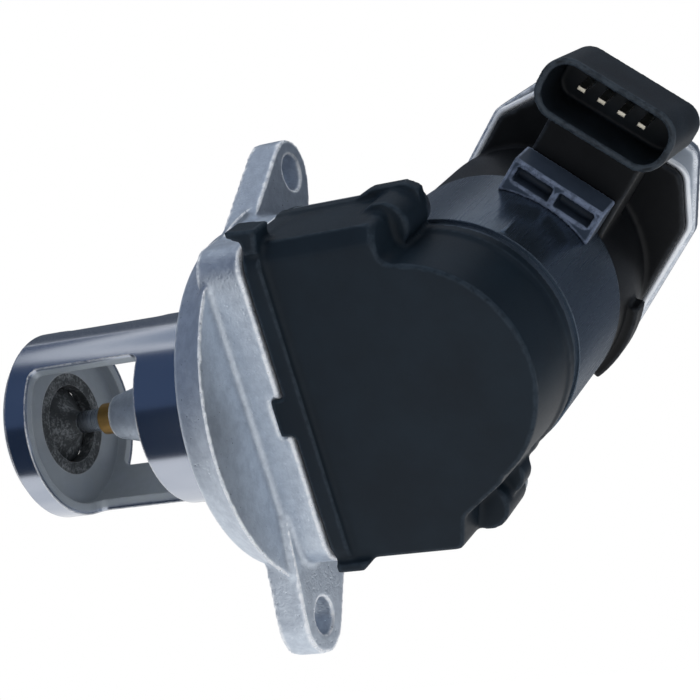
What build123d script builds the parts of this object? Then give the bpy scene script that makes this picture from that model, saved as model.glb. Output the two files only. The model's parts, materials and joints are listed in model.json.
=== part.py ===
from build123d import *
import math
import os

os.makedirs("parts", exist_ok=True)

# Exhaust gas recirculation valve, millimetres and degrees. X is the valve axis, from the cage
# to the actuator. The origin is where that axis crosses the back face of the two bolt ears.
# Z runs along the line of the ears. The motor axis is square to X, tilted up from +Y.

# Axes
motor_tilt = 27.0          # motor axis above +Y
motor_rise = 5.5              # motor axis from the valve axis, across both

# Fits
running_gap = 0.04         # radial, shaft in bush
free_gap = 0.4             # between parts that pass each other
pin_gap = 0.15             # crank pin in the slot of the yoke

# Valve cage
cage_radius = 20.0
cage_wall = 2.5
cage_end = -55.8
window_left = -49.4
window_right = -22.4
window_arc = 138.0         # each of two windows
window_turn = 39.0         # middle of the far window, from +Y towards +Z
window_round = 2.2
cage_seat_depth = 3.5      # how deep the tube is pressed into the housing
end_wall = 4.2
cage_chamfer = 1.2

# Valve and seat
port_radius = 8.4
seat_land = 1.2            # depth of the 45 degree seat
seat_gap = 0.1             # along the axis, head closed on the seat
seat_ring_wall = 1.4
head_rim = 0.9
head_chamfer = 0.6
head_edge = 0.4
tulip_bulge = 1.6
tulip_drop = 3.0
tulip_neck = 2.6
stem_radius = 2.4
tulip_length = 5.8

# Guide and seal
boss_tip = -39.5
boss_tip_radius = 4.6
boss_base_radius = 8.6
bush_wall = 0.9
bush_nose = 3.6            # brass standing out of the boss
bush_chamfer = 0.4
seal_radius = 5.0
seal_length = 3.5
seat_washer = 0.8

# Flange housing
pilot_height = 3.5         # round pilot in front of the ear face
pilot_radius = 34.9
pilot_chamfer = 0.8
pilot_neck_place = 0.6     # the fillet from pilot to flange passes here
pilot_neck_rise = 1.2
flange_radius = 39.3
flange_depth = 5.4         # ledge above the ear face
ear_pitch = 91.0
ear_radius = 7.5
ear_thickness = 6.8
ear_hole_radius = 3.7
ear_top_radius = 6.8
ear_root_radius = 13.0
ear_root_place = 24.0
ear_slope_radius = 10.0
ear_slope_place = 20.0
ear_slope_left = 14.0
ear_slope_right = 3.4
body_front = -22.9         # w of the straight wall
body_back = 19.5
body_bottom = -30.0        # n
body_height = 8.0          # wall above the ledge
body_wall = 2.6
body_skirt = 2.0           # how far the wall's root reaches into the flange
body_corner = 6.0
body_back_corner = 15.0
body_back_top = 22.0
chamber_radius = 9.8
chamber_floor = -16.5
gasket_thickness = 0.8

# Gear cover
lip_proud = 0.5
lip_height = 3.9
wing_height = 1.7
cover_front = -21.9        # w of the flat face
cover_rear = -1.9
cover_wall = 2.2
cover_top_room = 7.9       # box part above the barrel
cover_bottom = -28.6
lip_rise = 0.8
barrel_step = 1.5          # front face of the barrel inside the can's outline
cover_draft = 2.0
cover_inner_round = 3.0
cover_outer_round = 1.6
rim_proud = 0.5
rim_width = 3.2
wing_gap = 0.2             # between the cover's wing and the can
crease_drop = 3.4
crease_depth = 1.8
clip_width = 7.8
clip_length = 3.1
clip_depth = 0.8
clip_rise = 3.0
clip_gap = 0.2
hook_rise = 3.2            # hook at the lip's upper front corner
hook_reach = 1.6
hook_rear = -17.0
hook_thickness = 1.2
foot_rear = -15.0          # thickened lip under the box part
foot_length = 5.8
foot_ramp = 2.4
opening_step = 1.2
bump_left = 10.8           # flat-topped bump of the rim about the upper lug
bump_rise = 1.5
post_wall = 1.8
idler_lift = 0.3
axle_floor = 0.8
lug_radius = 4.9
lug_top_left = 1.3         # screw lug centres from the motor axis
lug_top_proud = 4.8        # beyond the barrel
lug_low_right = 2.7
lug_low_proud = 5.7
ramp_proud = 3.9           # the box part's lower corner climbs to the barrel
ramp_turn = -85.9          # about the motor axis, from +X
ramp_end_proud = 0.6
ramp_end_turn = -61.9
rib_lug_proud = 2.1
rib_lug_turn = -74.6
rib_lug_radius = 4.0
rib_lug_front = -10.0
rib_lug_rear = -4.5
post_inset = 8.4           # screw posts from the cover's base
post_edge = 4.3            # and from its top and bottom
lug_length = 11.5
screw_radius = 1.6
screw_length = 9.0
screw_end_gap = 0.5

# Motor
plate_thickness = 2.0
can_radius = 25.3
can_wall = 1.5
can_rear = 28.4
shaft_radius = 2.0
bearing_radius = 5.5
bearing_width = 5.0
magnet_gap = 0.6
magnet_thickness = 4.0
core_front = 9.0
core_rear = 24.0
winding_inset = 3.0
magnet_split = 14.0
winding_length = 3.2
winding_bore = 5.0
slot_depth = 6.5
slot_width = 2.2
commutator_radius = 7.0
commutator_length = 7.0
commutator_gap = 0.6
bar_gap = 0.7              # between copper bars
bar_gap_depth = 2.0
shaft_end_gap = 0.5
brush_size = 4.0

# Rear housing and end plate
seam_width = 0.6
seam_depth = 0.7
rear_inset = 0.3           # rear housing inside the can's outline
rear_flange_front = 48.6
rear_flange_rear = 51.0
rear_plate_rear = 54.6
rear_wall = 2.4
rear_turn = 47.0           # direction of the long side of the end plate
rear_shift = 2.0           # of that side across its direction
rear_flank_inset = 2.3
rear_round = 3.5
rear_shoulder_inset = 1.6
rear_tip_reach = 9.3       # beyond the round part
rear_tip_half = 14.5
plate_proud = 1.9
plate_tip_proud = 5.6
plate_screw_proud = 3.0
plate_screw_inset = 0.5
plate_screw_edge = 3.2
catch_proud = 2.4
catch_front = 36.0
catch_rear = 42.0
catch_turn = -43.0

# Connector
socket_turn = 46.5         # radial direction of the socket about the motor axis
socket_shift = 1.4         # along the pin row
socket_reach = 49.4        # centre of the mouth from the motor axis
socket_front = 17.0        # w of the mouth
socket_depth = 12.0
socket_width = 29.0
socket_height = 13.2
socket_slope = 2.5         # fall of the top towards the rear
socket_lean = 1.3          # of the rear end, along the pin row
neck_top = 47.0
socket_wall = 1.4
socket_corner = 5.6
socket_rear = 36.0
neck_rear = 44.0
socket_neck_width = 21.0
pin_pitch = 4.5
pin_count = 4
pin_size = 0.8
pin_tip = 22.5
pin_root = 2.0             # how far the pins stop short of the socket's rear
saddle_turn = 45.5
saddle_front = 20.0
saddle_rise = 5.7
saddle_sink = 3.0
saddle_width = 20.8
pocket_width = 8.2
pocket_height = 3.2
pocket_depth = 4.5
pocket_edge = 1.4

# Gear train and crank
gear_pressure = 25.0
gear_addendum = 0.8
gear_dedendum = 1.1
gear_backlash = 0.16
sector_module = 1.0
sector_teeth = 36
sector_count = 8
sector_pinion_teeth = 10
rotor_module = 0.8
idler_teeth = 29
rotor_teeth = 10
crank_back = 35.3          # crank axis from the motor axis, along the valve
crank_rise = -8.6
crank_radius = 9.0
crank_travel = 47.0
crank_clear = 5.6          # room behind the crank axis
arm_clear = 7.4
arm_room_bottom = -13.0
arm_room_top = 4.4
crank_room_front = -16.5
crank_room_rear = 8.0
crank_room_bottom = -16.0
crank_room_top = 6.0
gear_floor = 6.2
shaft_front = -21.0
shaft_rear = 14.0
shaft_bush_wall = 1.4
shaft_bush_length = 5.5
shaft_boss_wall = 2.0
shaft_boss_inset = 1.0
shaft_boss_end = 1.5
crank_shaft_radius = 2.5
crank_pin_radius = 2.2
crank_rivet_radius = 1.5
arm_front = -7.6
arm_thickness = 3.4
arm_hub_wall = 1.4
arm_tip_wall = 1.7
crank_end_gap = 0.4
sector_front = -14.0
sector_width = 3.2
sector_lead = 1.5          # teeth past the mesh with the valve closed
sector_hub_wall = 2.5
sector_sleeve_wall = 2.0
magnet_reach = 8.0
magnet_button_radius = 2.2
magnet_button_height = 1.2
idler_front = -18.8
idler_width = 3.4
idler_axle_radius = 1.5
idler_hub_wall = 1.4
idler_overlap = 0.6        # idler's pinion past the sector
idler_end_gap = 0.3
idler_rim = 2.2
idler_web_root = 1.6
idler_web_recess = 1.0
pinion_lead = 0.3
pinion_extra = 0.9
yoke_wall = 1.6
yoke_half = 3.6            # half depth of the yoke along the motor axis
hub_radius = 3.6
hub_length = 3.9
yoke_round = 1.2
slot_round = 1.0
retainer_thickness = 1.2
retainer_edge = 0.2
washer_edge = 0.6
spring_radius = 8.0
spring_wire = 0.8
spring_turns = 4.5

gasket_inset = 1.0
axle_rear = -0.5
screw_head = 1.8
screw_head_wall = 1.2
plate_screw_depth = 1.6
slot_count = 12
board_thickness = 1.2
board_place = (24.0, 20.0)
board_width = 15.0
board_height = 14.0
chip_width = 5.0
chip_length = 4.0
chip_height = 1.2
brush_gap = 0.3
brush_reach = 8.0
brush_box = 1.2
holder_thickness = 2.0
catch_half = 20.0          # half angle of the catch


def about_motor(reach, turn):
    """Place square to the motor axis, at a reach and a turn in degrees about it."""
    angle = math.radians(turn)
    return (motor_x + reach * math.cos(angle), motor_rise + reach * math.sin(angle))


# Worked out from the sizes above
tilt_cos = math.cos(math.radians(motor_tilt))
tilt_sin = math.sin(math.radians(motor_tilt))
along_motor = Vector(0, tilt_cos, tilt_sin)
housing_rim = flange_depth + body_height
cover_base = housing_rim + gasket_thickness
motor_x = cover_base + wing_height + wing_gap + can_radius
crank_x = motor_x - crank_back
crank_floor = crank_x - crank_clear
arm_floor = crank_x - arm_clear
draft_rise = (cover_rear - cover_front) * math.tan(math.radians(cover_draft))
barrel_radius = can_radius - barrel_step
rear_radius = can_radius - rear_inset
cover_top = motor_rise + barrel_radius + cover_top_room
body_top = cover_top
lip_top = cover_top + lip_rise
hook_top = lip_top + hook_rise
post_low = (cover_base + post_inset, cover_bottom + post_edge)
post_high = (cover_base + post_inset, cover_top - post_edge)
rear_half = rear_radius - rear_flank_inset
saddle_top = can_radius + saddle_rise
lug_top = (motor_x - lug_top_left, motor_rise + barrel_radius + lug_top_proud)
lug_low = (motor_x + lug_low_right, motor_rise - barrel_radius - lug_low_proud)
lug_rib = about_motor(barrel_radius + rib_lug_proud, rib_lug_turn)
ramp_start = about_motor(barrel_radius + ramp_proud, ramp_turn)
ramp_end = about_motor(barrel_radius + ramp_end_proud, ramp_end_turn)
magnet_outer = can_radius - can_wall
magnet_inner = magnet_outer - magnet_thickness
core_radius = magnet_inner - magnet_gap
winding_radius = core_radius - winding_inset
shaft_bush_radius = crank_shaft_radius + running_gap + shaft_bush_wall
plate_rear = cover_rear + plate_thickness
rear_shoulder_reach = rear_radius - rear_shoulder_inset
plate_screw_reach = rear_radius + plate_screw_proud
plate_screw_half = rear_tip_half - plate_screw_inset
plate_screw_low = rear_half - plate_screw_edge
port_outer = port_radius + seat_land
bush_radius = stem_radius + running_gap + bush_wall
crank_start = crank_travel / 2
pin_closed_x = crank_x + crank_radius * math.sin(math.radians(crank_start))
pin_closed_n = crank_rise + crank_radius * math.cos(math.radians(crank_start))
slot_half = crank_pin_radius + pin_gap
slot_rise = crank_radius * (1 - math.cos(math.radians(crank_start)))
slot_reach = crank_pin_radius + slot_rise + free_gap
yoke_left = pin_closed_x - slot_half - yoke_wall
retainer_right = yoke_left - hub_length
retainer_left = retainer_right - retainer_thickness
spring_left = chamber_floor + seat_washer
sector_pitch_radius = sector_module * sector_teeth / 2
sector_pinion_radius = sector_module * sector_pinion_teeth / 2
idler_pitch_radius = rotor_module * idler_teeth / 2
rotor_pitch_radius = rotor_module * rotor_teeth / 2
crank_to_idler = sector_pitch_radius + sector_pinion_radius
idler_to_motor = idler_pitch_radius + rotor_pitch_radius
crank_to_motor = math.hypot(motor_x - crank_x, motor_rise - crank_rise)
motor_bearing_angle = math.degrees(math.atan2(motor_rise - crank_rise, motor_x - crank_x))
idler_swing = math.degrees(math.acos(
    (crank_to_motor**2 + crank_to_idler**2 - idler_to_motor**2) / (2 * crank_to_motor * crank_to_idler)))
idler_angle = motor_bearing_angle - idler_swing
idler_x = crank_x + crank_to_idler * math.cos(math.radians(idler_angle))
idler_n = crank_rise + crank_to_idler * math.sin(math.radians(idler_angle))
rotor_angle = math.degrees(math.atan2(motor_rise - idler_n, motor_x - idler_x))


def across(w):
    """Plane square to the motor axis, facing its front. Local x is X, local y runs across both."""
    return Plane(origin=along_motor * w, x_dir=(1, 0, 0), z_dir=(0, -tilt_cos, -tilt_sin))


def tilted(x):
    """Plane square to the valve axis. Local x runs along the motor axis, local y across it."""
    return Plane(origin=(x, 0, 0), x_dir=(0, tilt_cos, tilt_sin), z_dir=(1, 0, 0))


def radial(turn, w):
    """Plane on the motor axis facing its front, with local y pointing out at the given turn."""
    centre = across(w).from_local_coords(Vector(motor_x, motor_rise, 0))
    turned = math.radians(turn - 90)
    x_dir = across(0).from_local_coords(Vector(math.cos(turned), math.sin(turned), 0))
    return Plane(origin=centre, x_dir=x_dir, z_dir=(0, -tilt_cos, -tilt_sin))


def involute(angle):
    """Involute of a pressure angle in radians."""
    return math.tan(angle) - angle


def gear_tooth(module, teeth):
    """Half a tooth's outline as radius and half angle in degrees, from root to tip."""
    pitch = module * teeth / 2
    base = pitch * math.cos(math.radians(gear_pressure))
    root = pitch - gear_dedendum * module
    tip = pitch + gear_addendum * module
    half = math.pi / (2 * teeth) - gear_backlash / (4 * pitch)
    start = half + involute(math.radians(gear_pressure))
    points = [(root - 0.3 * module, math.degrees(start))]
    for radius in (max(root, base), (base + pitch) / 2, pitch, (pitch + tip) / 2, tip):
        turn = start - involute(math.acos(min(1.0, base / radius)))
        points.append((radius, math.degrees(turn)))
    return points


def tooth_corners(module, teeth):
    """The corners of one tooth that points along local x."""
    half = gear_tooth(module, teeth)
    upper = [(r * math.cos(math.radians(a)), r * math.sin(math.radians(a))) for r, a in half]
    lower = [(x, -y) for x, y in reversed(upper)]
    return upper + lower


def wheel_outline(module, teeth):
    """A full gear outline about the origin, with one tooth along local x."""
    with BuildSketch() as outline:
        Circle(module * teeth / 2 - gear_dedendum * module)
        with PolarLocations(0, teeth):
            with BuildLine():
                Polyline(*tooth_corners(module, teeth), close=True)
            make_face()
    return outline.sketch


def spring_coil(length):
    """A coil about X that starts at the seat washer, as wide as the spring."""
    rise = length - 2 * spring_wire
    start = (spring_left + spring_wire, 0, 0)
    with BuildPart() as coil:
        with BuildLine() as path:
            Helix(
                pitch=rise / spring_turns,
                height=rise,
                radius=spring_radius,
                center=start,
                direction=(1, 0, 0),
            )
        with BuildSketch(Plane(origin=path.line @ 0, z_dir=path.line % 0)):
            Circle(spring_wire)
        sweep(is_frenet=True)
    return coil.part


def body_outline(front, back, bottom, top):
    """Rounded outline of the body wall, square to the valve axis, with its small corners at the front."""
    with BuildSketch() as outline:
        with BuildLine():
            Polyline((front, bottom), (back, bottom), (back, top), (front, top), close=True)
        make_face()
        fillet(outline.vertices().group_by(Axis.X)[0], body_corner)
        fillet(outline.vertices().group_by(Axis.X)[-1].sort_by(Axis.Y)[0], body_back_corner)
        fillet(outline.vertices().sort_by(Axis.Y)[-2:].sort_by(Axis.X)[-1], body_back_top)
    return outline.sketch


def cover_outline(grow):
    """Outline of the gear cover square to the motor axis: a box part that runs into the barrel."""
    with BuildSketch() as outline:
        with BuildLine():
            Polyline(
                (cover_base, cover_bottom),
                (motor_x, cover_bottom),
                ramp_start,
                ramp_end,
                (motor_x + lug_low_right, motor_rise),
                (motor_x, motor_rise),
                (motor_x, cover_top),
                (cover_base, cover_top),
                close=True,
            )
        make_face()
        with Locations((motor_x, motor_rise)):
            Circle(barrel_radius)
        wall = outline.vertices().filter_by(lambda corner: abs(corner.X - motor_x) < 0.01)
        fillet(wall.sort_by(Axis.Y)[-2], cover_inner_round)
        wall = outline.vertices().filter_by(lambda corner: abs(corner.X - motor_x) < 0.01)
        fillet([wall.sort_by(Axis.Y)[0], wall.sort_by(Axis.Y)[-1]], cover_outer_round)
        if grow:
            offset(amount=grow)
    return outline.sketch


def socket_outline(inset, share):
    """Outline of the socket about the motor axis, at a share of its length behind the mouth."""
    fall = socket_slope * share
    height = socket_height - fall - 2 * inset
    with BuildSketch() as outline:
        with Locations((socket_shift + socket_lean * share, socket_reach - fall / 2)):
            RectangleRounded(socket_width - 2 * inset, height, socket_corner - fall / 2 - inset)
    return outline.sketch


def rear_outline(grow, tip_grow):
    """Outline of the rear end: round about the motor axis, drawn out to two corners on one side."""
    with BuildSketch() as outline:
        with Locations((rear_shift, 0)):
            Circle(rear_half + grow)
            for side in (1, -1):
                with Locations((side * (rear_half + grow - rear_round), rear_shoulder_reach)):
                    Circle(rear_round)
                with Locations((side * rear_tip_half, rear_radius + rear_tip_reach + tip_grow - rear_round)):
                    Circle(rear_round)
        make_hull()
    return outline.sketch


# Valve cage
with BuildPart() as valve_cage:
    with BuildSketch():
        with BuildLine():
            Polyline(
                (cage_end + cage_chamfer, cage_radius),
                (cage_seat_depth - pilot_height, cage_radius),
                (cage_seat_depth - pilot_height, cage_radius - cage_wall),
                (cage_end + end_wall, cage_radius - cage_wall),
                (cage_end + end_wall, port_outer + seat_ring_wall),
                (cage_end, port_outer + seat_ring_wall),
                (cage_end, cage_radius - cage_chamfer),
                (cage_end + cage_chamfer, cage_radius),
            )
        make_face()
    revolve(axis=Axis.X)
    with BuildSketch(Plane.YZ.offset(window_left)):
        with BuildLine():
            edge = CenterArc((0, 0), 2 * cage_radius, window_turn - window_arc / 2, window_arc)
            Line((0, 0), edge @ 0)
            Line(edge @ 1, (0, 0))
        make_face()
        with BuildLine():
            edge = CenterArc((0, 0), 2 * cage_radius, window_turn + 180 - window_arc / 2, window_arc)
            Line((0, 0), edge @ 0)
            Line(edge @ 1, (0, 0))
        make_face()
    extrude(amount=window_right - window_left, mode=Mode.SUBTRACT)
    corners = valve_cage.edges().filter_by(GeomType.LINE).filter_by(
        lambda line: abs(line.length - cage_wall) < 0.01
        and min(abs(line.center().X - window_left), abs(line.center().X - window_right)) < 0.01)
    fillet(corners, radius=window_round)
valve_cage.part.label = "valve_cage"

# Valve seat ring, with its cone open to the outside
seat_ring_radius = port_outer + seat_ring_wall
with BuildPart() as seat_ring:
    with BuildSketch():
        with BuildLine():
            Polyline(
                (cage_end, seat_ring_radius),
                (cage_end + end_wall, seat_ring_radius),
                (cage_end + end_wall, port_radius),
                (cage_end + seat_land, port_radius),
                (cage_end, port_outer),
                (cage_end, seat_ring_radius),
            )
        make_face()
    revolve(axis=Axis.X)
seat_ring.part.label = "seat_ring"

# Valve head, closed on the outer side of the seat
head_back = cage_end + seat_land - seat_gap
head_front = cage_end - seat_gap - head_rim
with BuildPart() as valve_head:
    with BuildSketch():
        with BuildLine():
            Polyline(
                (head_front, 0),
                (head_front, port_outer - head_chamfer),
                (cage_end - seat_gap - head_chamfer / 2, port_outer),
                (cage_end - seat_gap, port_outer),
                (head_back + head_edge, port_radius - head_edge),
            )
            Bezier(
                (head_back + head_edge, port_radius - head_edge),
                (head_back + tulip_bulge, port_radius - tulip_drop),
                (head_back + tulip_neck, stem_radius + head_edge),
                (head_back + tulip_length, stem_radius),
            )
            Line((head_back + tulip_length, stem_radius), (head_back + tulip_length, 0))
            Line((head_back + tulip_length, 0), (head_front, 0))
        make_face()
    revolve(axis=Axis.X)
valve_head.part.label = "valve_head"

# Valve stem
stem_end = yoke_left
with BuildPart() as valve_stem:
    with BuildSketch(Plane.YZ.offset(head_back + tulip_length)):
        Circle(stem_radius)
    extrude(amount=stem_end - head_back - tulip_length)
valve_stem.part.label = "valve_stem"

# Guide bush
bush_left = boss_tip - bush_nose
bush_right = chamber_floor - seal_length
with BuildPart() as guide_bush:
    with BuildSketch(Plane.YZ.offset(bush_left)):
        Circle(bush_radius)
        Circle(stem_radius + running_gap, mode=Mode.SUBTRACT)
    extrude(amount=bush_right - bush_left)
    chamfer(guide_bush.edges().group_by(Axis.X)[0].sort_by(SortBy.LENGTH)[-1], length=bush_chamfer)
guide_bush.part.label = "guide_bush"

# Stem seal
with BuildPart() as stem_seal:
    with BuildSketch(Plane.YZ.offset(bush_right)):
        Circle(seal_radius)
        Circle(stem_radius + running_gap, mode=Mode.SUBTRACT)
    extrude(amount=seal_length)
stem_seal.part.label = "stem_seal"

# Spring seat washer
with BuildPart() as spring_seat:
    with BuildSketch(Plane.YZ.offset(chamber_floor)):
        Circle(spring_radius + spring_wire + washer_edge)
        Circle(stem_radius + free_gap, mode=Mode.SUBTRACT)
    extrude(amount=seat_washer)
spring_seat.part.label = "spring_seat"

# Return spring
spring_length = retainer_left - spring_left
return_spring = spring_coil(spring_length)
return_spring.label = "return_spring"

# Spring retainer
with BuildPart() as spring_retainer:
    with BuildSketch(Plane.YZ.offset(retainer_left)):
        Circle(spring_radius + spring_wire + retainer_edge)
        Circle(stem_radius, mode=Mode.SUBTRACT)
    extrude(amount=retainer_thickness)
spring_retainer.part.label = "spring_retainer"

# Stem yoke, a slotted block on a hub
with BuildPart() as stem_yoke:
    with BuildSketch(Plane.YZ.offset(retainer_right)):
        Circle(hub_radius)
    extrude(amount=hub_length)
    with BuildSketch(Plane.YZ.offset(retainer_right)):
        Circle(stem_radius)
    extrude(amount=hub_length, mode=Mode.SUBTRACT)
    with BuildSketch(across(yoke_half)):
        with Locations((pin_closed_x, 0)):
            RectangleRounded(2 * (slot_half + yoke_wall), 2 * (slot_reach + yoke_wall), yoke_round)
    extrude(amount=2 * yoke_half)
    with BuildSketch(across(yoke_half)):
        with Locations((pin_closed_x, 0)):
            RectangleRounded(2 * slot_half, 2 * slot_reach, slot_round)
    extrude(amount=2 * yoke_half, mode=Mode.SUBTRACT)
stem_yoke.part.label = "stem_yoke"

# Flange housing: pilot, flange, ears, body wall, neck boss
with BuildPart() as valve_housing:
    with BuildSketch():
        with BuildLine():
            Polyline(
                (chamber_floor, 0),
                (boss_tip, 0),
                (boss_tip, boss_tip_radius),
                (window_right, boss_base_radius),
                (window_right, cage_radius - cage_wall),
                (-pilot_height, cage_radius - cage_wall),
                (-pilot_height, pilot_radius - pilot_chamfer),
                (-pilot_height + pilot_chamfer, pilot_radius),
            )
            ThreePointArc(
                (-pilot_height + pilot_chamfer, pilot_radius),
                (pilot_neck_place, pilot_radius + pilot_neck_rise),
                (flange_depth, flange_radius),
            )
            Polyline((flange_depth, flange_radius), (flange_depth, 0), (chamber_floor, 0))
        make_face()
    revolve(axis=Axis.X)
    with BuildSketch(Plane.YZ):
        with Locations((0, -ear_pitch / 2)):
            Circle(ear_radius)
        with Locations((0, -ear_root_place)):
            Circle(ear_root_radius)
        make_hull()
    extrude(amount=ear_thickness)
    with BuildSketch(Plane.YZ):
        with Locations((0, ear_pitch / 2)):
            Circle(ear_top_radius)
        with Locations((-ear_slope_left, ear_slope_place), (-ear_slope_right, ear_slope_place)):
            Circle(ear_slope_radius)
        make_hull()
    extrude(amount=ear_thickness)
    with BuildSketch(tilted(flange_depth - body_skirt)):
        add(body_outline(body_front, body_back, body_bottom, body_top))
    extrude(amount=body_height + body_skirt)
    with BuildSketch(tilted(gear_floor)):
        add(body_outline(body_front, body_back, body_bottom, body_top))
        offset(amount=-body_wall)
    extrude(amount=housing_rim - gear_floor, mode=Mode.SUBTRACT)
    with BuildSketch(across(crank_room_rear)):
        with Locations(((crank_floor + housing_rim) / 2, (crank_room_bottom + crank_room_top) / 2)):
            Rectangle(housing_rim - crank_floor, crank_room_top - crank_room_bottom)
    extrude(amount=crank_room_rear - crank_room_front, mode=Mode.SUBTRACT)
    with BuildSketch(across(arm_front + arm_thickness + free_gap)):
        with Locations(((arm_floor + housing_rim) / 2, (arm_room_bottom + arm_room_top) / 2)):
            Rectangle(housing_rim - arm_floor, arm_room_top - arm_room_bottom)
    extrude(amount=arm_thickness + 2 * free_gap, mode=Mode.SUBTRACT)
    for near, far in (
            (body_front + shaft_boss_inset, crank_room_front),
            (crank_room_rear, shaft_rear + shaft_boss_end)):
        with BuildSketch(across(far)):
            with Locations((crank_x, crank_rise)):
                Circle(shaft_bush_radius + shaft_boss_wall)
        extrude(amount=far - near)
    with BuildSketch(across(shaft_rear)):
        with Locations((crank_x, crank_rise)):
            Circle(shaft_bush_radius)
    extrude(amount=shaft_rear - shaft_front, mode=Mode.SUBTRACT)
    with BuildSketch(across(body_front + clip_depth)):
        with Locations((cover_base - (clip_length + clip_gap) / 2, clip_rise)):
            Rectangle(clip_length + clip_gap, clip_width + 2 * clip_gap)
    extrude(amount=clip_depth, mode=Mode.SUBTRACT)
    with BuildSketch(Plane.YZ.offset(-pilot_height)):
        Circle(cage_radius)
        Circle(cage_radius - cage_wall, mode=Mode.SUBTRACT)
    extrude(amount=cage_seat_depth, mode=Mode.SUBTRACT)
    with BuildSketch(Plane.YZ.offset(chamber_floor)):
        Circle(chamber_radius)
    extrude(amount=housing_rim - chamber_floor, mode=Mode.SUBTRACT)
    with BuildSketch(Plane.YZ.offset(boss_tip)):
        Circle(bush_radius)
    extrude(amount=chamber_floor - boss_tip, mode=Mode.SUBTRACT)
    with BuildSketch(Plane.YZ.offset(bush_right)):
        Circle(seal_radius)
    extrude(amount=seal_length, mode=Mode.SUBTRACT)
    for side in (1, -1):
        with BuildSketch(Plane.YZ):
            with Locations((0, side * ear_pitch / 2)):
                Circle(ear_hole_radius)
        extrude(amount=ear_thickness, mode=Mode.SUBTRACT)
valve_housing.part.label = "valve_housing"

# Cover gasket, between the housing's rim and the cover
with BuildPart() as cover_gasket:
    with BuildSketch(tilted(housing_rim)):
        add(body_outline(body_front, body_back, body_bottom, body_top))
        offset(amount=-gasket_inset)
    extrude(amount=gasket_thickness)
    with BuildSketch(tilted(housing_rim)):
        add(body_outline(body_front, body_back, body_bottom, body_top))
        offset(amount=-body_wall)
    extrude(amount=gasket_thickness, mode=Mode.SUBTRACT)
cover_gasket.part.label = "cover_gasket"

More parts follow.
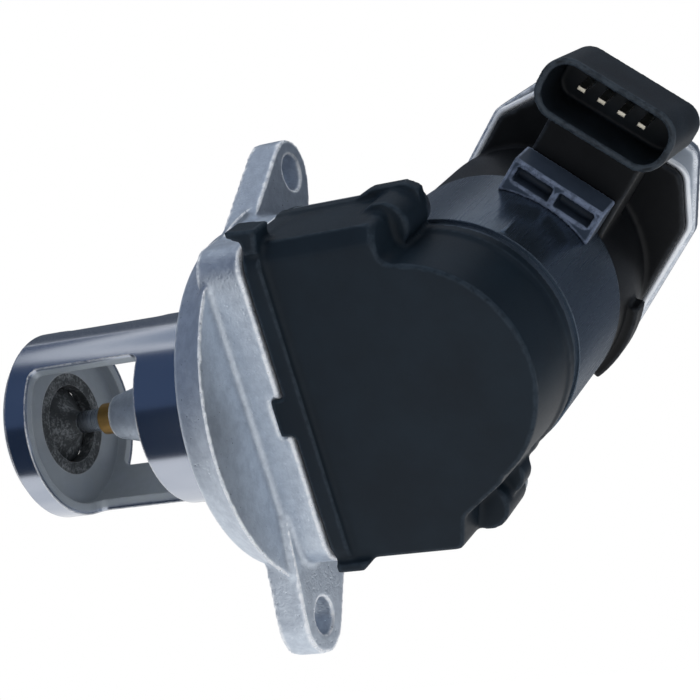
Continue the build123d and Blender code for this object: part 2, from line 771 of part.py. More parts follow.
# Gear cover: box part and barrel in one moulding, open at the rear and towards the housing
lip_front = body_front - lip_proud
cover_screws_at = [lug_top, lug_low, post_low, post_high]
opening_low = body_bottom + body_wall + opening_step
opening_high = body_top - body_wall - opening_step
rim_top = cover_top + draft_rise + rim_proud
with BuildPart() as gear_cover:
    with BuildSketch(across(cover_front)):
        add(cover_outline(0))
    extrude(amount=cover_front - cover_rear, taper=-cover_draft)
    with BuildSketch(tilted(cover_base - draft_rise)):
        add(body_outline(lip_front, body_back, cover_bottom - draft_rise, cover_top + draft_rise))
        offset(amount=body_back_top, kind=Kind.INTERSECTION)
    extrude(amount=draft_rise, mode=Mode.SUBTRACT)
    with BuildSketch(tilted(cover_base - clip_length)):
        with BuildLine():
            Polyline(
                (cover_front - crease_depth, cover_top - crease_drop),
                (cover_front, cover_top - crease_drop),
                (cover_front + crease_depth, cover_top + draft_rise),
                (cover_front - crease_depth, cover_top + draft_rise),
                close=True,
            )
        make_face()
    extrude(amount=motor_x, mode=Mode.SUBTRACT)
    with BuildSketch(across(cover_rear)):
        add(cover_outline(draft_rise + rim_proud))
        with BuildLine():
            Polyline(
                (lug_top[0] - bump_left, rim_top - 2 * rim_proud),
                (lug_top[0] - lug_radius, rim_top + bump_rise),
                (lug_top[0] + lug_radius / 2, rim_top + bump_rise),
                (lug_top[0] + lug_radius, rim_top),
                (lug_top[0] + lug_radius, lug_top[1]),
                lug_top,
                close=True,
            )
        make_face()
        with BuildLine():
            Polyline(
                (cover_base, cover_bottom - lug_radius),
                (cover_base, rim_top + lug_radius),
                (cover_base - lug_radius, rim_top + lug_radius),
                (cover_base - lug_radius, cover_bottom - lug_radius),
                close=True,
            )
        make_face(mode=Mode.SUBTRACT)
    extrude(amount=rim_width)
    with BuildSketch(across(cover_rear)):
        for place in (lug_top, lug_low):
            with Locations(place):
                Circle(lug_radius)
    extrude(amount=lug_length)
    with BuildSketch(across(rib_lug_rear)):
        with Locations(lug_rib):
            Circle(rib_lug_radius)
    extrude(amount=rib_lug_rear - rib_lug_front)
    with BuildSketch(tilted(cover_base)):
        add(body_outline(lip_front, body_back + lip_proud, body_bottom - lip_proud, lip_top))
    extrude(amount=wing_height)
    with BuildSketch(tilted(cover_base)):
        add(body_outline(lip_front, body_back + lip_proud, body_bottom - lip_proud, lip_top))
        with BuildLine():
            Polyline(
                (cover_rear, lip_top + lip_proud),
                (cover_rear, body_bottom - 2 * lip_proud),
                (body_back + lug_radius, body_bottom - 2 * lip_proud),
                (body_back + lug_radius, lip_top + lip_proud),
                close=True,
            )
        make_face(mode=Mode.SUBTRACT)
    extrude(amount=lip_height)
    with BuildSketch(across(foot_rear)):
        with BuildLine():
            Polyline(
                (cover_base, body_bottom - lip_proud),
                (cover_base + foot_length, body_bottom - lip_proud),
                (cover_base + foot_length + foot_ramp, cover_bottom),
                (cover_base, cover_bottom),
                close=True,
            )
        make_face()
    extrude(amount=foot_rear - lip_front)
    with BuildSketch(across(hook_rear)):
        with BuildLine():
            Polyline(
                (cover_base - hook_reach, hook_top),
                (cover_base - hook_reach, hook_top - hook_thickness),
                (cover_base + hook_thickness, lip_top + rim_proud),
                (cover_base + hook_thickness, cover_top - hook_thickness),
                (cover_base + lip_height, cover_top - hook_thickness),
                (cover_base + lip_height + hook_thickness, hook_top - hook_thickness / 2),
                close=True,
            )
        make_face()
    extrude(amount=hook_rear - lip_front)
    with BuildSketch(across(cover_rear)):
        add(cover_outline(draft_rise / 2 - cover_wall))
        with Locations((cover_base + cover_wall / 2, (opening_low + opening_high) / 2)):
            Rectangle(2 * cover_wall, opening_high - opening_low)
    extrude(amount=cover_rear - cover_front - cover_wall, mode=Mode.SUBTRACT)
    with BuildSketch(across(cover_rear)):
        for place in (post_low, post_high):
            with Locations(place):
                Circle(screw_radius + post_wall)
    extrude(amount=cover_rear - cover_front - cover_wall / 2)
    with BuildSketch(across(idler_front - idler_lift)):
        with Locations((idler_x, idler_n)):
            Circle(idler_axle_radius + cover_wall)
    extrude(amount=idler_front - idler_lift - cover_front - cover_wall / 2)
    with BuildSketch(across(idler_front)):
        with Locations((idler_x, idler_n)):
            Circle(idler_axle_radius)
    extrude(amount=idler_front - cover_front - axle_floor, mode=Mode.SUBTRACT)
    with BuildSketch(across(cover_rear)):
        for place in cover_screws_at:
            with Locations(place):
                Circle(screw_radius)
    extrude(amount=screw_length, mode=Mode.SUBTRACT)
    with BuildSketch(across(body_front + clip_depth)):
        with Locations((cover_base - clip_length / 2, clip_rise)):
            Rectangle(clip_length, clip_width)
    extrude(amount=clip_depth + lip_proud)
gear_cover.part.label = "gear_cover"

# Motor plate, which closes the gear cover from the rear and carries the motor
plate_left = motor_x - can_radius
with BuildPart() as motor_plate:
    with BuildSketch(across(plate_rear)):
        add(cover_outline(draft_rise))
        for place in (lug_top, lug_low):
            with Locations(place):
                Circle(lug_radius - rim_proud)
        with BuildLine():
            Polyline(
                (plate_left, cover_bottom - lug_radius),
                (plate_left, rim_top + lug_radius),
                (plate_left - lug_radius, rim_top + lug_radius),
                (plate_left - lug_radius, cover_bottom - lug_radius),
                close=True,
            )
        make_face(mode=Mode.SUBTRACT)
        with Locations((motor_x, motor_rise)):
            Circle(bearing_radius, mode=Mode.SUBTRACT)
        for place in cover_screws_at:
            with Locations(place):
                Circle(screw_radius + free_gap / 2, mode=Mode.SUBTRACT)
    extrude(amount=plate_thickness)
    with BuildSketch(across(plate_rear)):
        with Locations((motor_x, motor_rise)):
            Circle(bearing_radius + can_wall)
            Circle(bearing_radius, mode=Mode.SUBTRACT)
    extrude(amount=plate_thickness - bearing_width)
    with BuildSketch(across(axle_rear)):
        with Locations((idler_x, idler_n)):
            Circle(idler_axle_radius)
    extrude(amount=axle_rear - cover_rear, mode=Mode.SUBTRACT)
motor_plate.part.label = "motor_plate"

# Screws from the rear through the motor plate
with BuildPart() as cover_screws:
    with BuildSketch(across(plate_rear + screw_head)):
        for place in cover_screws_at:
            with Locations(place):
                Circle(screw_radius + screw_head_wall)
    extrude(amount=screw_head)
    with BuildSketch(across(plate_rear)):
        for place in cover_screws_at:
            with Locations(place):
                Circle(screw_radius)
    extrude(amount=plate_thickness + screw_length - screw_end_gap)
cover_screws.part.label = "cover_screws"

# Motor can, with a rolled bead near its rear edge
with BuildPart() as motor_can:
    with BuildSketch(across(can_rear)):
        with Locations((motor_x, motor_rise)):
            Circle(can_radius)
            Circle(can_radius - can_wall, mode=Mode.SUBTRACT)
    extrude(amount=can_rear - plate_rear)
motor_can.part.label = "motor_can"

# Field magnets, two arcs on the can's wall
with BuildPart() as motor_magnets:
    with BuildSketch(across(core_rear)):
        with Locations((motor_x, motor_rise)):
            Circle(magnet_outer)
            Circle(magnet_inner, mode=Mode.SUBTRACT)
            Rectangle(2 * can_radius, magnet_split, mode=Mode.SUBTRACT)
    extrude(amount=core_rear - core_front)
motor_magnets.part.label = "motor_magnets"

# Bearings of the motor shaft
with BuildPart() as front_bearing:
    with BuildSketch(across(cover_rear + bearing_width)):
        with Locations((motor_x, motor_rise)):
            Circle(bearing_radius)
            Circle(shaft_radius + running_gap, mode=Mode.SUBTRACT)
    extrude(amount=bearing_width)
front_bearing.part.label = "front_bearing"

with BuildPart() as rear_bearing:
    with BuildSketch(across(rear_flange_rear)):
        with Locations((motor_x, motor_rise)):
            Circle(bearing_radius)
            Circle(shaft_radius + running_gap, mode=Mode.SUBTRACT)
    extrude(amount=bearing_width)
rear_bearing.part.label = "rear_bearing"

# Rotor: shaft, core, windings, commutator, pinion
pinion_front = idler_front - pinion_lead
with BuildPart() as motor_shaft:
    with BuildSketch(across(rear_flange_rear - shaft_end_gap)):
        with Locations((motor_x, motor_rise)):
            Circle(shaft_radius)
    extrude(amount=rear_flange_rear - shaft_end_gap - pinion_front)
motor_shaft.part.label = "motor_shaft"

with BuildPart() as armature_core:
    with BuildSketch(across(core_rear)):
        with Locations((motor_x, motor_rise)):
            Circle(core_radius)
            with PolarLocations(core_radius - slot_depth / 2, slot_count):
                Rectangle(slot_depth + 2 * free_gap, slot_width, mode=Mode.SUBTRACT)
            Circle(shaft_radius, mode=Mode.SUBTRACT)
    extrude(amount=core_rear - core_front)
armature_core.part.label = "armature_core"

with BuildPart() as windings:
    for rear in (core_front, core_rear + winding_length):
        with BuildSketch(across(rear)):
            with Locations((motor_x, motor_rise)):
                Circle(winding_radius)
                Circle(winding_bore, mode=Mode.SUBTRACT)
        extrude(amount=winding_length)
windings.part.label = "windings"

commutator_front = core_rear + winding_length + commutator_gap
with BuildPart() as commutator:
    with BuildSketch(across(commutator_front + commutator_length)):
        with Locations((motor_x, motor_rise)):
            Circle(commutator_radius)
            with PolarLocations(commutator_radius, slot_count):
                Rectangle(bar_gap_depth, bar_gap, mode=Mode.SUBTRACT)
            Circle(shaft_radius, mode=Mode.SUBTRACT)
    extrude(amount=commutator_length)
commutator.part.label = "commutator"

with BuildPart() as motor_pinion:
    with BuildSketch(across(pinion_front + idler_width + pinion_extra)):
        with Locations(Location((motor_x, motor_rise, 0), rotor_angle + 180 + 180 / rotor_teeth)):
            add(wheel_outline(rotor_module, rotor_teeth))
        with Locations((motor_x, motor_rise)):
            Circle(shaft_radius, mode=Mode.SUBTRACT)
    extrude(amount=idler_width + pinion_extra)
motor_pinion.part.label = "motor_pinion"

# Idler axle and idler gear: a large wheel in front, its pinion behind
with BuildPart() as idler_axle:
    with BuildSketch(across(axle_rear)):
        with Locations((idler_x, idler_n)):
            Circle(idler_axle_radius)
    extrude(amount=axle_rear - cover_front - axle_floor)
idler_axle.part.label = "idler_axle"

idler_rear = sector_front + sector_width + idler_overlap
with BuildPart() as idler_gear:
    with BuildSketch(across(idler_front + idler_width)):
        with Locations(Location((idler_x, idler_n, 0), rotor_angle)):
            add(wheel_outline(rotor_module, idler_teeth))
    extrude(amount=idler_width)
    with BuildSketch(across(idler_rear)):
        with Locations(Location((idler_x, idler_n, 0), idler_angle + 180 + 180 / sector_pinion_teeth)):
            add(wheel_outline(sector_module, sector_pinion_teeth))
    extrude(amount=idler_rear - idler_front)
    with BuildSketch(across(cover_rear - idler_end_gap)):
        with Locations((idler_x, idler_n)):
            Circle(idler_axle_radius + idler_hub_wall)
    extrude(amount=cover_rear - idler_end_gap - idler_front)
    with BuildSketch(across(idler_front + idler_web_recess)):
        with Locations((idler_x, idler_n)):
            Circle(idler_pitch_radius - idler_rim)
            Circle(sector_pinion_radius + idler_web_root, mode=Mode.SUBTRACT)
    extrude(amount=idler_web_recess, mode=Mode.SUBTRACT)
    with BuildSketch(across(cover_rear)):
        with Locations((idler_x, idler_n)):
            Circle(idler_axle_radius + running_gap)
    extrude(amount=cover_rear - cover_front, mode=Mode.SUBTRACT)
idler_gear.part.label = "idler_gear"

# Crank: shaft, sector gear, arm and pin, drawn with the valve closed
with BuildPart() as crank_shaft:
    with BuildSketch(across(shaft_rear - crank_end_gap)):
        with Locations((crank_x, crank_rise)):
            Circle(crank_shaft_radius)
    extrude(amount=shaft_rear - shaft_front - 2 * crank_end_gap)
crank_shaft.part.label = "crank_shaft"

tooth_pitch = 360 / sector_teeth
sector_turn = tooth_pitch * sector_count
sector_low = idler_angle + sector_lead * tooth_pitch - sector_turn
with BuildPart() as sector_gear:
    with BuildSketch(across(sector_front + sector_width)):
        with Locations(Location((crank_x, crank_rise, 0), idler_angle)):
            add(wheel_outline(sector_module, sector_teeth))
        with BuildLine():
            rim = CenterArc((crank_x, crank_rise), 2 * sector_pitch_radius, sector_low, sector_turn)
            Line((crank_x, crank_rise), rim @ 0)
            Line(rim @ 1, (crank_x, crank_rise))
        make_face(mode=Mode.INTERSECT)
        with Locations((crank_x, crank_rise)):
            Circle(crank_shaft_radius + sector_hub_wall)
            Circle(crank_shaft_radius, mode=Mode.SUBTRACT)
    extrude(amount=sector_width)
    with BuildSketch(across(arm_front - free_gap)):
        with Locations((crank_x, crank_rise)):
            Circle(crank_shaft_radius + sector_sleeve_wall)
            Circle(crank_shaft_radius, mode=Mode.SUBTRACT)
    extrude(amount=arm_front - free_gap - sector_front)
sector_gear.part.label = "sector_gear"

magnet_turn = math.radians(sector_low + sector_turn / 2)
with BuildPart() as sensor_magnet:
    with BuildSketch(across(sector_front)):
        with Locations((
                crank_x + magnet_reach * math.cos(magnet_turn),
                crank_rise + magnet_reach * math.sin(magnet_turn))):
            Circle(magnet_button_radius)
    extrude(amount=magnet_button_height)
sensor_magnet.part.label = "sensor_magnet"

with BuildPart() as crank_arm:
    with BuildSketch(across(arm_front + arm_thickness)):
        with Locations((crank_x, crank_rise)):
            Circle(crank_shaft_radius + arm_hub_wall)
        with Locations((pin_closed_x, pin_closed_n)):
            Circle(crank_rivet_radius + arm_tip_wall)
        make_hull()
        with Locations((crank_x, crank_rise)):
            Circle(crank_shaft_radius, mode=Mode.SUBTRACT)
        with Locations((pin_closed_x, pin_closed_n)):
            Circle(crank_rivet_radius, mode=Mode.SUBTRACT)
    extrude(amount=arm_thickness)
crank_arm.part.label = "crank_arm"

with BuildPart() as crank_pin:
    with BuildSketch(across(arm_front + arm_thickness)):
        with Locations((pin_closed_x, pin_closed_n)):
            Circle(crank_rivet_radius)
    extrude(amount=arm_thickness)
    with BuildSketch(across(yoke_half)):
        with Locations((pin_closed_x, pin_closed_n)):
            Circle(crank_pin_radius)
    extrude(amount=yoke_half - arm_front - arm_thickness)
crank_pin.part.label = "crank_pin"

# Bushes of the crank shaft, one in each end of the housing
with BuildPart() as shaft_bushes:
    for rear in (shaft_front + shaft_bush_length, shaft_rear):
        with BuildSketch(across(rear)):
            with Locations((crank_x, crank_rise)):
                Circle(shaft_bush_radius)
                Circle(crank_shaft_radius + running_gap, mode=Mode.SUBTRACT)
        extrude(amount=shaft_bush_length)
shaft_bushes.part.label = "shaft_bushes"

# Position sensor: a board in the cover and a magnet on the sector gear's hub
with BuildPart() as sensor_board:
    with BuildSketch(across(cover_front + cover_wall + board_thickness)):
        with Locations(board_place):
            Rectangle(board_width, board_height)
    extrude(amount=board_thickness)
    with BuildSketch(across(cover_front + cover_wall + board_thickness + chip_height)):
        with Locations(board_place):
            Rectangle(chip_width, chip_length)
    extrude(amount=chip_height)
sensor_board.part.label = "sensor_board"

# Brush gear: two carbon brushes in a holder that rests in the rear housing
brush_front = commutator_front + (commutator_length - brush_size) / 2
brush_start = commutator_radius + brush_gap
holder_front = brush_front + brush_size + brush_box
rear_inner = rear_radius - rear_wall
with BuildPart() as brush_holder:
    with BuildSketch(across(holder_front + holder_thickness)):
        with Locations((motor_x, motor_rise)):
            Circle(rear_inner)
            Circle(commutator_radius + 2 * brush_gap + holder_thickness, mode=Mode.SUBTRACT)
    extrude(amount=holder_thickness)
    for side in (0, 180):
        with BuildSketch(radial(socket_turn + side, holder_front)):
            with Locations((0, brush_start + (brush_reach + brush_box) / 2 + brush_box)):
                Rectangle(brush_size + 2 * brush_box, brush_reach + brush_box)
        extrude(amount=holder_front - brush_front + brush_box)
        with BuildSketch(radial(socket_turn + side, brush_front + brush_size)):
            with Locations((0, brush_start + brush_reach / 2)):
                Rectangle(brush_size, brush_reach)
        extrude(amount=brush_size, mode=Mode.SUBTRACT)
brush_holder.part.label = "brush_holder"

with BuildPart() as brushes:
    for side in (0, 180):
        with BuildSketch(radial(socket_turn + side, brush_front + brush_size)):
            with Locations((0, brush_start + brush_reach / 2)):
                Rectangle(brush_size, brush_reach)
        extrude(amount=brush_size)
brushes.part.label = "brushes"

# Rear housing, black moulding behind the can that carries the brushes and the socket
plate_screws_at = [
    (rear_shift - plate_screw_half, plate_screw_reach),
    (rear_shift + plate_screw_half, plate_screw_reach),
    (rear_shift, -plate_screw_low),
]
with BuildPart() as rear_housing:
    with BuildSketch(across(rear_flange_rear)):
        with Locations((motor_x, motor_rise)):
            Circle(rear_radius)
    extrude(amount=rear_flange_rear - can_rear - seam_width)
    with BuildSketch(across(can_rear + seam_width)):
        with Locations((motor_x, motor_rise)):
            Circle(rear_radius - seam_depth)
    extrude(amount=seam_width)
    with BuildSketch(radial(rear_turn, rear_flange_rear)):
        add(rear_outline(0, 0))
    extrude(amount=rear_flange_rear - rear_flange_front)
    with BuildSketch(radial(socket_turn, neck_rear)):
        with Locations((socket_shift, (socket_reach - socket_height / 2) / 2)):
            Rectangle(socket_neck_width, socket_reach - socket_height / 2)
    extrude(amount=neck_rear - can_rear - seam_width)
    with BuildSketch(radial(socket_turn, neck_rear)):
        with Locations((socket_shift, neck_top / 2)):
            Rectangle(socket_neck_width, neck_top)
    extrude(amount=neck_rear - socket_rear)
    with BuildSketch(radial(catch_turn, catch_rear)):
        with BuildLine():
            outer = CenterArc((0, 0), rear_radius + catch_proud, 90 - catch_half, 2 * catch_half)
            inner = CenterArc((0, 0), rear_radius - rear_wall / 2, 90 - catch_half, 2 * catch_half)
            Line(outer @ 0, inner @ 0)
            Line(outer @ 1, inner @ 1)
        make_face()
    extrude(amount=catch_rear - catch_front)
    with BuildSketch(across(rear_flange_rear - rear_wall)):
        with Locations((motor_x, motor_rise)):
            Circle(rear_inner)
    extrude(amount=rear_flange_rear - rear_wall - can_rear, mode=Mode.SUBTRACT)
    with BuildSketch(across(rear_flange_rear)):
        with Locations((motor_x, motor_rise)):
            Circle(bearing_radius + rear_wall)
    extrude(amount=bearing_width)
    with BuildSketch(across(rear_flange_rear)):
        with Locations((motor_x, motor_rise)):
            Circle(bearing_radius)
    extrude(amount=bearing_width, mode=Mode.SUBTRACT)
    with BuildSketch(radial(rear_turn, rear_flange_rear)):
        for place in plate_screws_at:
            with Locations(place):
                Circle(screw_radius)
    extrude(amount=plate_screw_depth, mode=Mode.SUBTRACT)
rear_housing.part.label = "rear_housing"

# Rear end plate and its screws
with BuildPart() as rear_plate:
    with BuildSketch(radial(rear_turn, rear_plate_rear)):
        add(rear_outline(plate_proud, plate_tip_proud))
        for place in plate_screws_at:
            with Locations(place):
                Circle(screw_radius + free_gap / 2, mode=Mode.SUBTRACT)
    extrude(amount=rear_plate_rear - rear_flange_rear)
rear_plate.part.label = "rear_plate"

with BuildPart() as plate_screws:
    with BuildSketch(radial(rear_turn, rear_plate_rear + screw_head)):
        for place in plate_screws_at:
            with Locations(place):
                Circle(screw_radius + screw_head_wall)
    extrude(amount=screw_head)
    with BuildSketch(radial(rear_turn, rear_plate_rear)):
        for place in plate_screws_at:
            with Locations(place):
                Circle(screw_radius)
    extrude(amount=rear_plate_rear - rear_flange_rear + plate_screw_depth)
plate_screws.part.label = "plate_screws"

# Socket
with BuildPart() as connector_housing:
    with BuildSketch(radial(socket_turn, socket_front)):
        add(socket_outline(0, 0))
    with BuildSketch(radial(socket_turn, socket_rear)):
        add(socket_outline(0, 1))
    loft(ruled=True)
    with BuildSketch(radial(socket_turn, socket_front)):
        add(socket_outline(socket_wall, 0))
    with BuildSketch(radial(socket_turn, socket_front + socket_depth)):
        add(socket_outline(socket_wall, socket_depth / (socket_rear - socket_front)))
    loft(ruled=True, mode=Mode.SUBTRACT)
    with BuildSketch(radial(socket_turn, socket_rear - pin_root)):
        with Locations((socket_shift, socket_reach)):
            with GridLocations(pin_pitch, 1, pin_count, 1):
                Rectangle(2 * pin_size, pin_size)
    extrude(amount=socket_rear - pin_root - socket_front, mode=Mode.SUBTRACT)
connector_housing.part.label = "connector_housing"

with BuildPart() as connector_pins:
    with BuildSketch(radial(socket_turn, socket_rear - pin_root)):
        with Locations((socket_shift, socket_reach)):
            with GridLocations(pin_pitch, 1, pin_count, 1):
                Rectangle(2 * pin_size, pin_size)
    extrude(amount=socket_rear - pin_root - pin_tip)
connector_pins.part.label = "connector_pins"

# Saddle on the can under the socket, with two pockets in its front face
with BuildPart() as connector_saddle:
    with BuildSketch(radial(saddle_turn, can_rear)):
        with Locations((0, (can_radius - saddle_sink + saddle_top) / 2)):
            Rectangle(saddle_width, saddle_rise + saddle_sink)
        Circle(can_radius, mode=Mode.SUBTRACT)
    extrude(amount=can_rear - saddle_front)
    with BuildSketch(radial(saddle_turn, saddle_front + pocket_depth)):
        with Locations((0, saddle_top - pocket_edge - pocket_height / 2)):
            with GridLocations(pocket_width + pocket_edge, 1, 2, 1):
                Rectangle(pocket_width, pocket_height)
    extrude(amount=pocket_depth, mode=Mode.SUBTRACT)
connector_saddle.part.label = "connector_saddle"

pieces = [
    valve_cage, seat_ring, valve_head, valve_stem, guide_bush, stem_seal, spring_seat, spring_retainer,
    stem_yoke, valve_housing, cover_gasket, gear_cover, motor_plate, cover_screws, motor_can, motor_magnets,
    front_bearing, rear_bearing, motor_shaft, armature_core, windings, commutator, motor_pinion, idler_axle,
    idler_gear, crank_shaft, sector_gear, sensor_magnet, crank_arm, crank_pin, shaft_bushes, sensor_board,
    rear_housing, rear_plate, plate_screws, brush_holder, brushes, connector_housing, connector_pins,
    connector_saddle,
]
for piece in pieces:
    export_step(piece.part, "parts/" + piece.part.label + ".step")
export_step(return_spring, "parts/return_spring.step")
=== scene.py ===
"""Looks of a motor-driven exhaust gas recirculation valve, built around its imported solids.

Lengths are in metres. X is the valve axis, from the cage to the actuator, and Z is the line of
the bolt ears. The motor axis is square to X, tilted up from +Y. W is the place along the motor
axis and N the place across both axes.
"""

import json
import logging
import math
from dataclasses import dataclass
from enum import Enum
from typing import Sequence

import bmesh
import bpy
import numpy as np
from mathutils import Matrix, Vector

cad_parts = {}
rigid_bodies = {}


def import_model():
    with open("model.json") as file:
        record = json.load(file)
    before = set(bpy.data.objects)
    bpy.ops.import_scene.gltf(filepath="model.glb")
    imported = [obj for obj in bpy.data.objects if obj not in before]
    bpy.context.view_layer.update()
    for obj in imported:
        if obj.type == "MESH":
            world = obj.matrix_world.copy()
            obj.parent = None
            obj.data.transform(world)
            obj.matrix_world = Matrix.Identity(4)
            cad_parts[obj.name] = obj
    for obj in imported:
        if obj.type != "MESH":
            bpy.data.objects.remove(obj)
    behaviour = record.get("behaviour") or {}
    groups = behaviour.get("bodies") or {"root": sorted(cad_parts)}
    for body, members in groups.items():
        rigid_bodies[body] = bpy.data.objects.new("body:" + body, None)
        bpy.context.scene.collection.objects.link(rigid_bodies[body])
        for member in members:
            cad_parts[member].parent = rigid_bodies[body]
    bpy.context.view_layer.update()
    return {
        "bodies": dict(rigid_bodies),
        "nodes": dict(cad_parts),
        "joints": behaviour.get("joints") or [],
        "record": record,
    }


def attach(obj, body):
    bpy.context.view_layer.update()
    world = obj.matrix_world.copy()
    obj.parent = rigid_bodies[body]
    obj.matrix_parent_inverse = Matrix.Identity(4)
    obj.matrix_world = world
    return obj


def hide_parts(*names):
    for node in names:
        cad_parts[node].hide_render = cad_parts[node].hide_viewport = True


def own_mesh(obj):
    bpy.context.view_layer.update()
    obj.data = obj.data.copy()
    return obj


LOG = logging.getLogger("recirculation_valve")
MM = 0.001
MOTOR_X = 41.4
MOTOR_RISE = 5.5
MOTOR_TILT = math.radians(27.0)
GRID_MERGE = 0.0001
SOLID_MERGE = 0.002
BEND = "edge_bend"

Colour = tuple[float, float, float]
Place = tuple[float, float, float]
Places = np.ndarray | float
Socket = bpy.types.NodeSocket


def srgb(code: str) -> Colour:
    """Turns a six-digit colour as seen on screen into linear light.

    Args:
        code: Red, green and blue as two hexadecimal digits each.

    Returns:
        The three linear values.
    """
    seen = [int(code[i:i + 2], 16) / 255 for i in (0, 2, 4)]
    return tuple(v / 12.92 if v <= 0.04045 else ((v + 0.055) / 1.055) ** 2.4 for v in seen)


class Grain(Enum):
    """What a surface's fine structure comes from."""

    CAST = "sand and die cast skin"
    TURNED = "rings left by a turning tool"
    DRAWN = "streaks along the draw"
    MOULDED = "spark-eroded mould skin"
    SOOTED = "flaky deposits of exhaust soot"
    PRESSED = "pressed powder"
    WOUND = "layers of enamelled wire"


class Axis(Enum):
    """The line that a pattern follows: its point in metres and its turn in radians."""

    VALVE = ((0.0, 0.0, 0.0), (0.0, 0.0, 0.0))
    MOTOR = (
        (MOTOR_X * MM, -MOTOR_RISE * MM * math.sin(MOTOR_TILT),
         MOTOR_RISE * MM * math.cos(MOTOR_TILT)),
        (0.0, -MOTOR_TILT, math.radians(90.0)))


@dataclass(frozen=True)
class Finish:
    """A surface's colour, gloss and fine structure. Sizes are in millimetres, shares 0 to 1.

    Attributes:
        colour: Main colour, in linear light like the others.
        shade: Second colour, which lies over the first in clouds or streaks.
        grain: What the fine structure comes from.
        metallic: How far the surface is bare metal.
        roughness: Mean roughness, which the relief sways by roughness_swing either way.
        grain_size: Size of the fine structure, and grain_height its depth.
        mottle_size: Size of the colour's clouds, and mottle_share their strength.
        edge_colour: Colour of outer edges, partly real wear and partly a painted highlight,
        with edge_share as their strength.
        edge_width: Radius that an edge is seen to have.
        crevice_share: Strength of the darkening in inner corners, partly grime, partly painted
            shade.
        coat: Weight of a clear coat.
        specular: Strength of the reflection of what isn't metal.
        soot_radius: Reach of the soot about the valve axis, with its share and colour.
        axis: The line that the pattern follows.
    """

    colour: Colour
    shade: Colour
    grain: Grain
    metallic: float = 0.0
    roughness: float = 0.5
    roughness_swing: float = 0.1
    grain_size: float = 0.4
    grain_height: float = 0.01
    mottle_size: float = 9.0
    mottle_share: float = 0.6
    edge_colour: Colour = (0.8, 0.82, 0.85)
    edge_width: float = 0.35
    edge_share: float = 0.5
    crevice_share: float = 0.0
    coat: float = 0.0
    specular: float = 0.5
    soot_radius: float = 0.0
    soot_share: float = 0.0
    soot_colour: Colour = (0.2, 0.2, 0.2)
    axis: Axis = Axis.VALVE


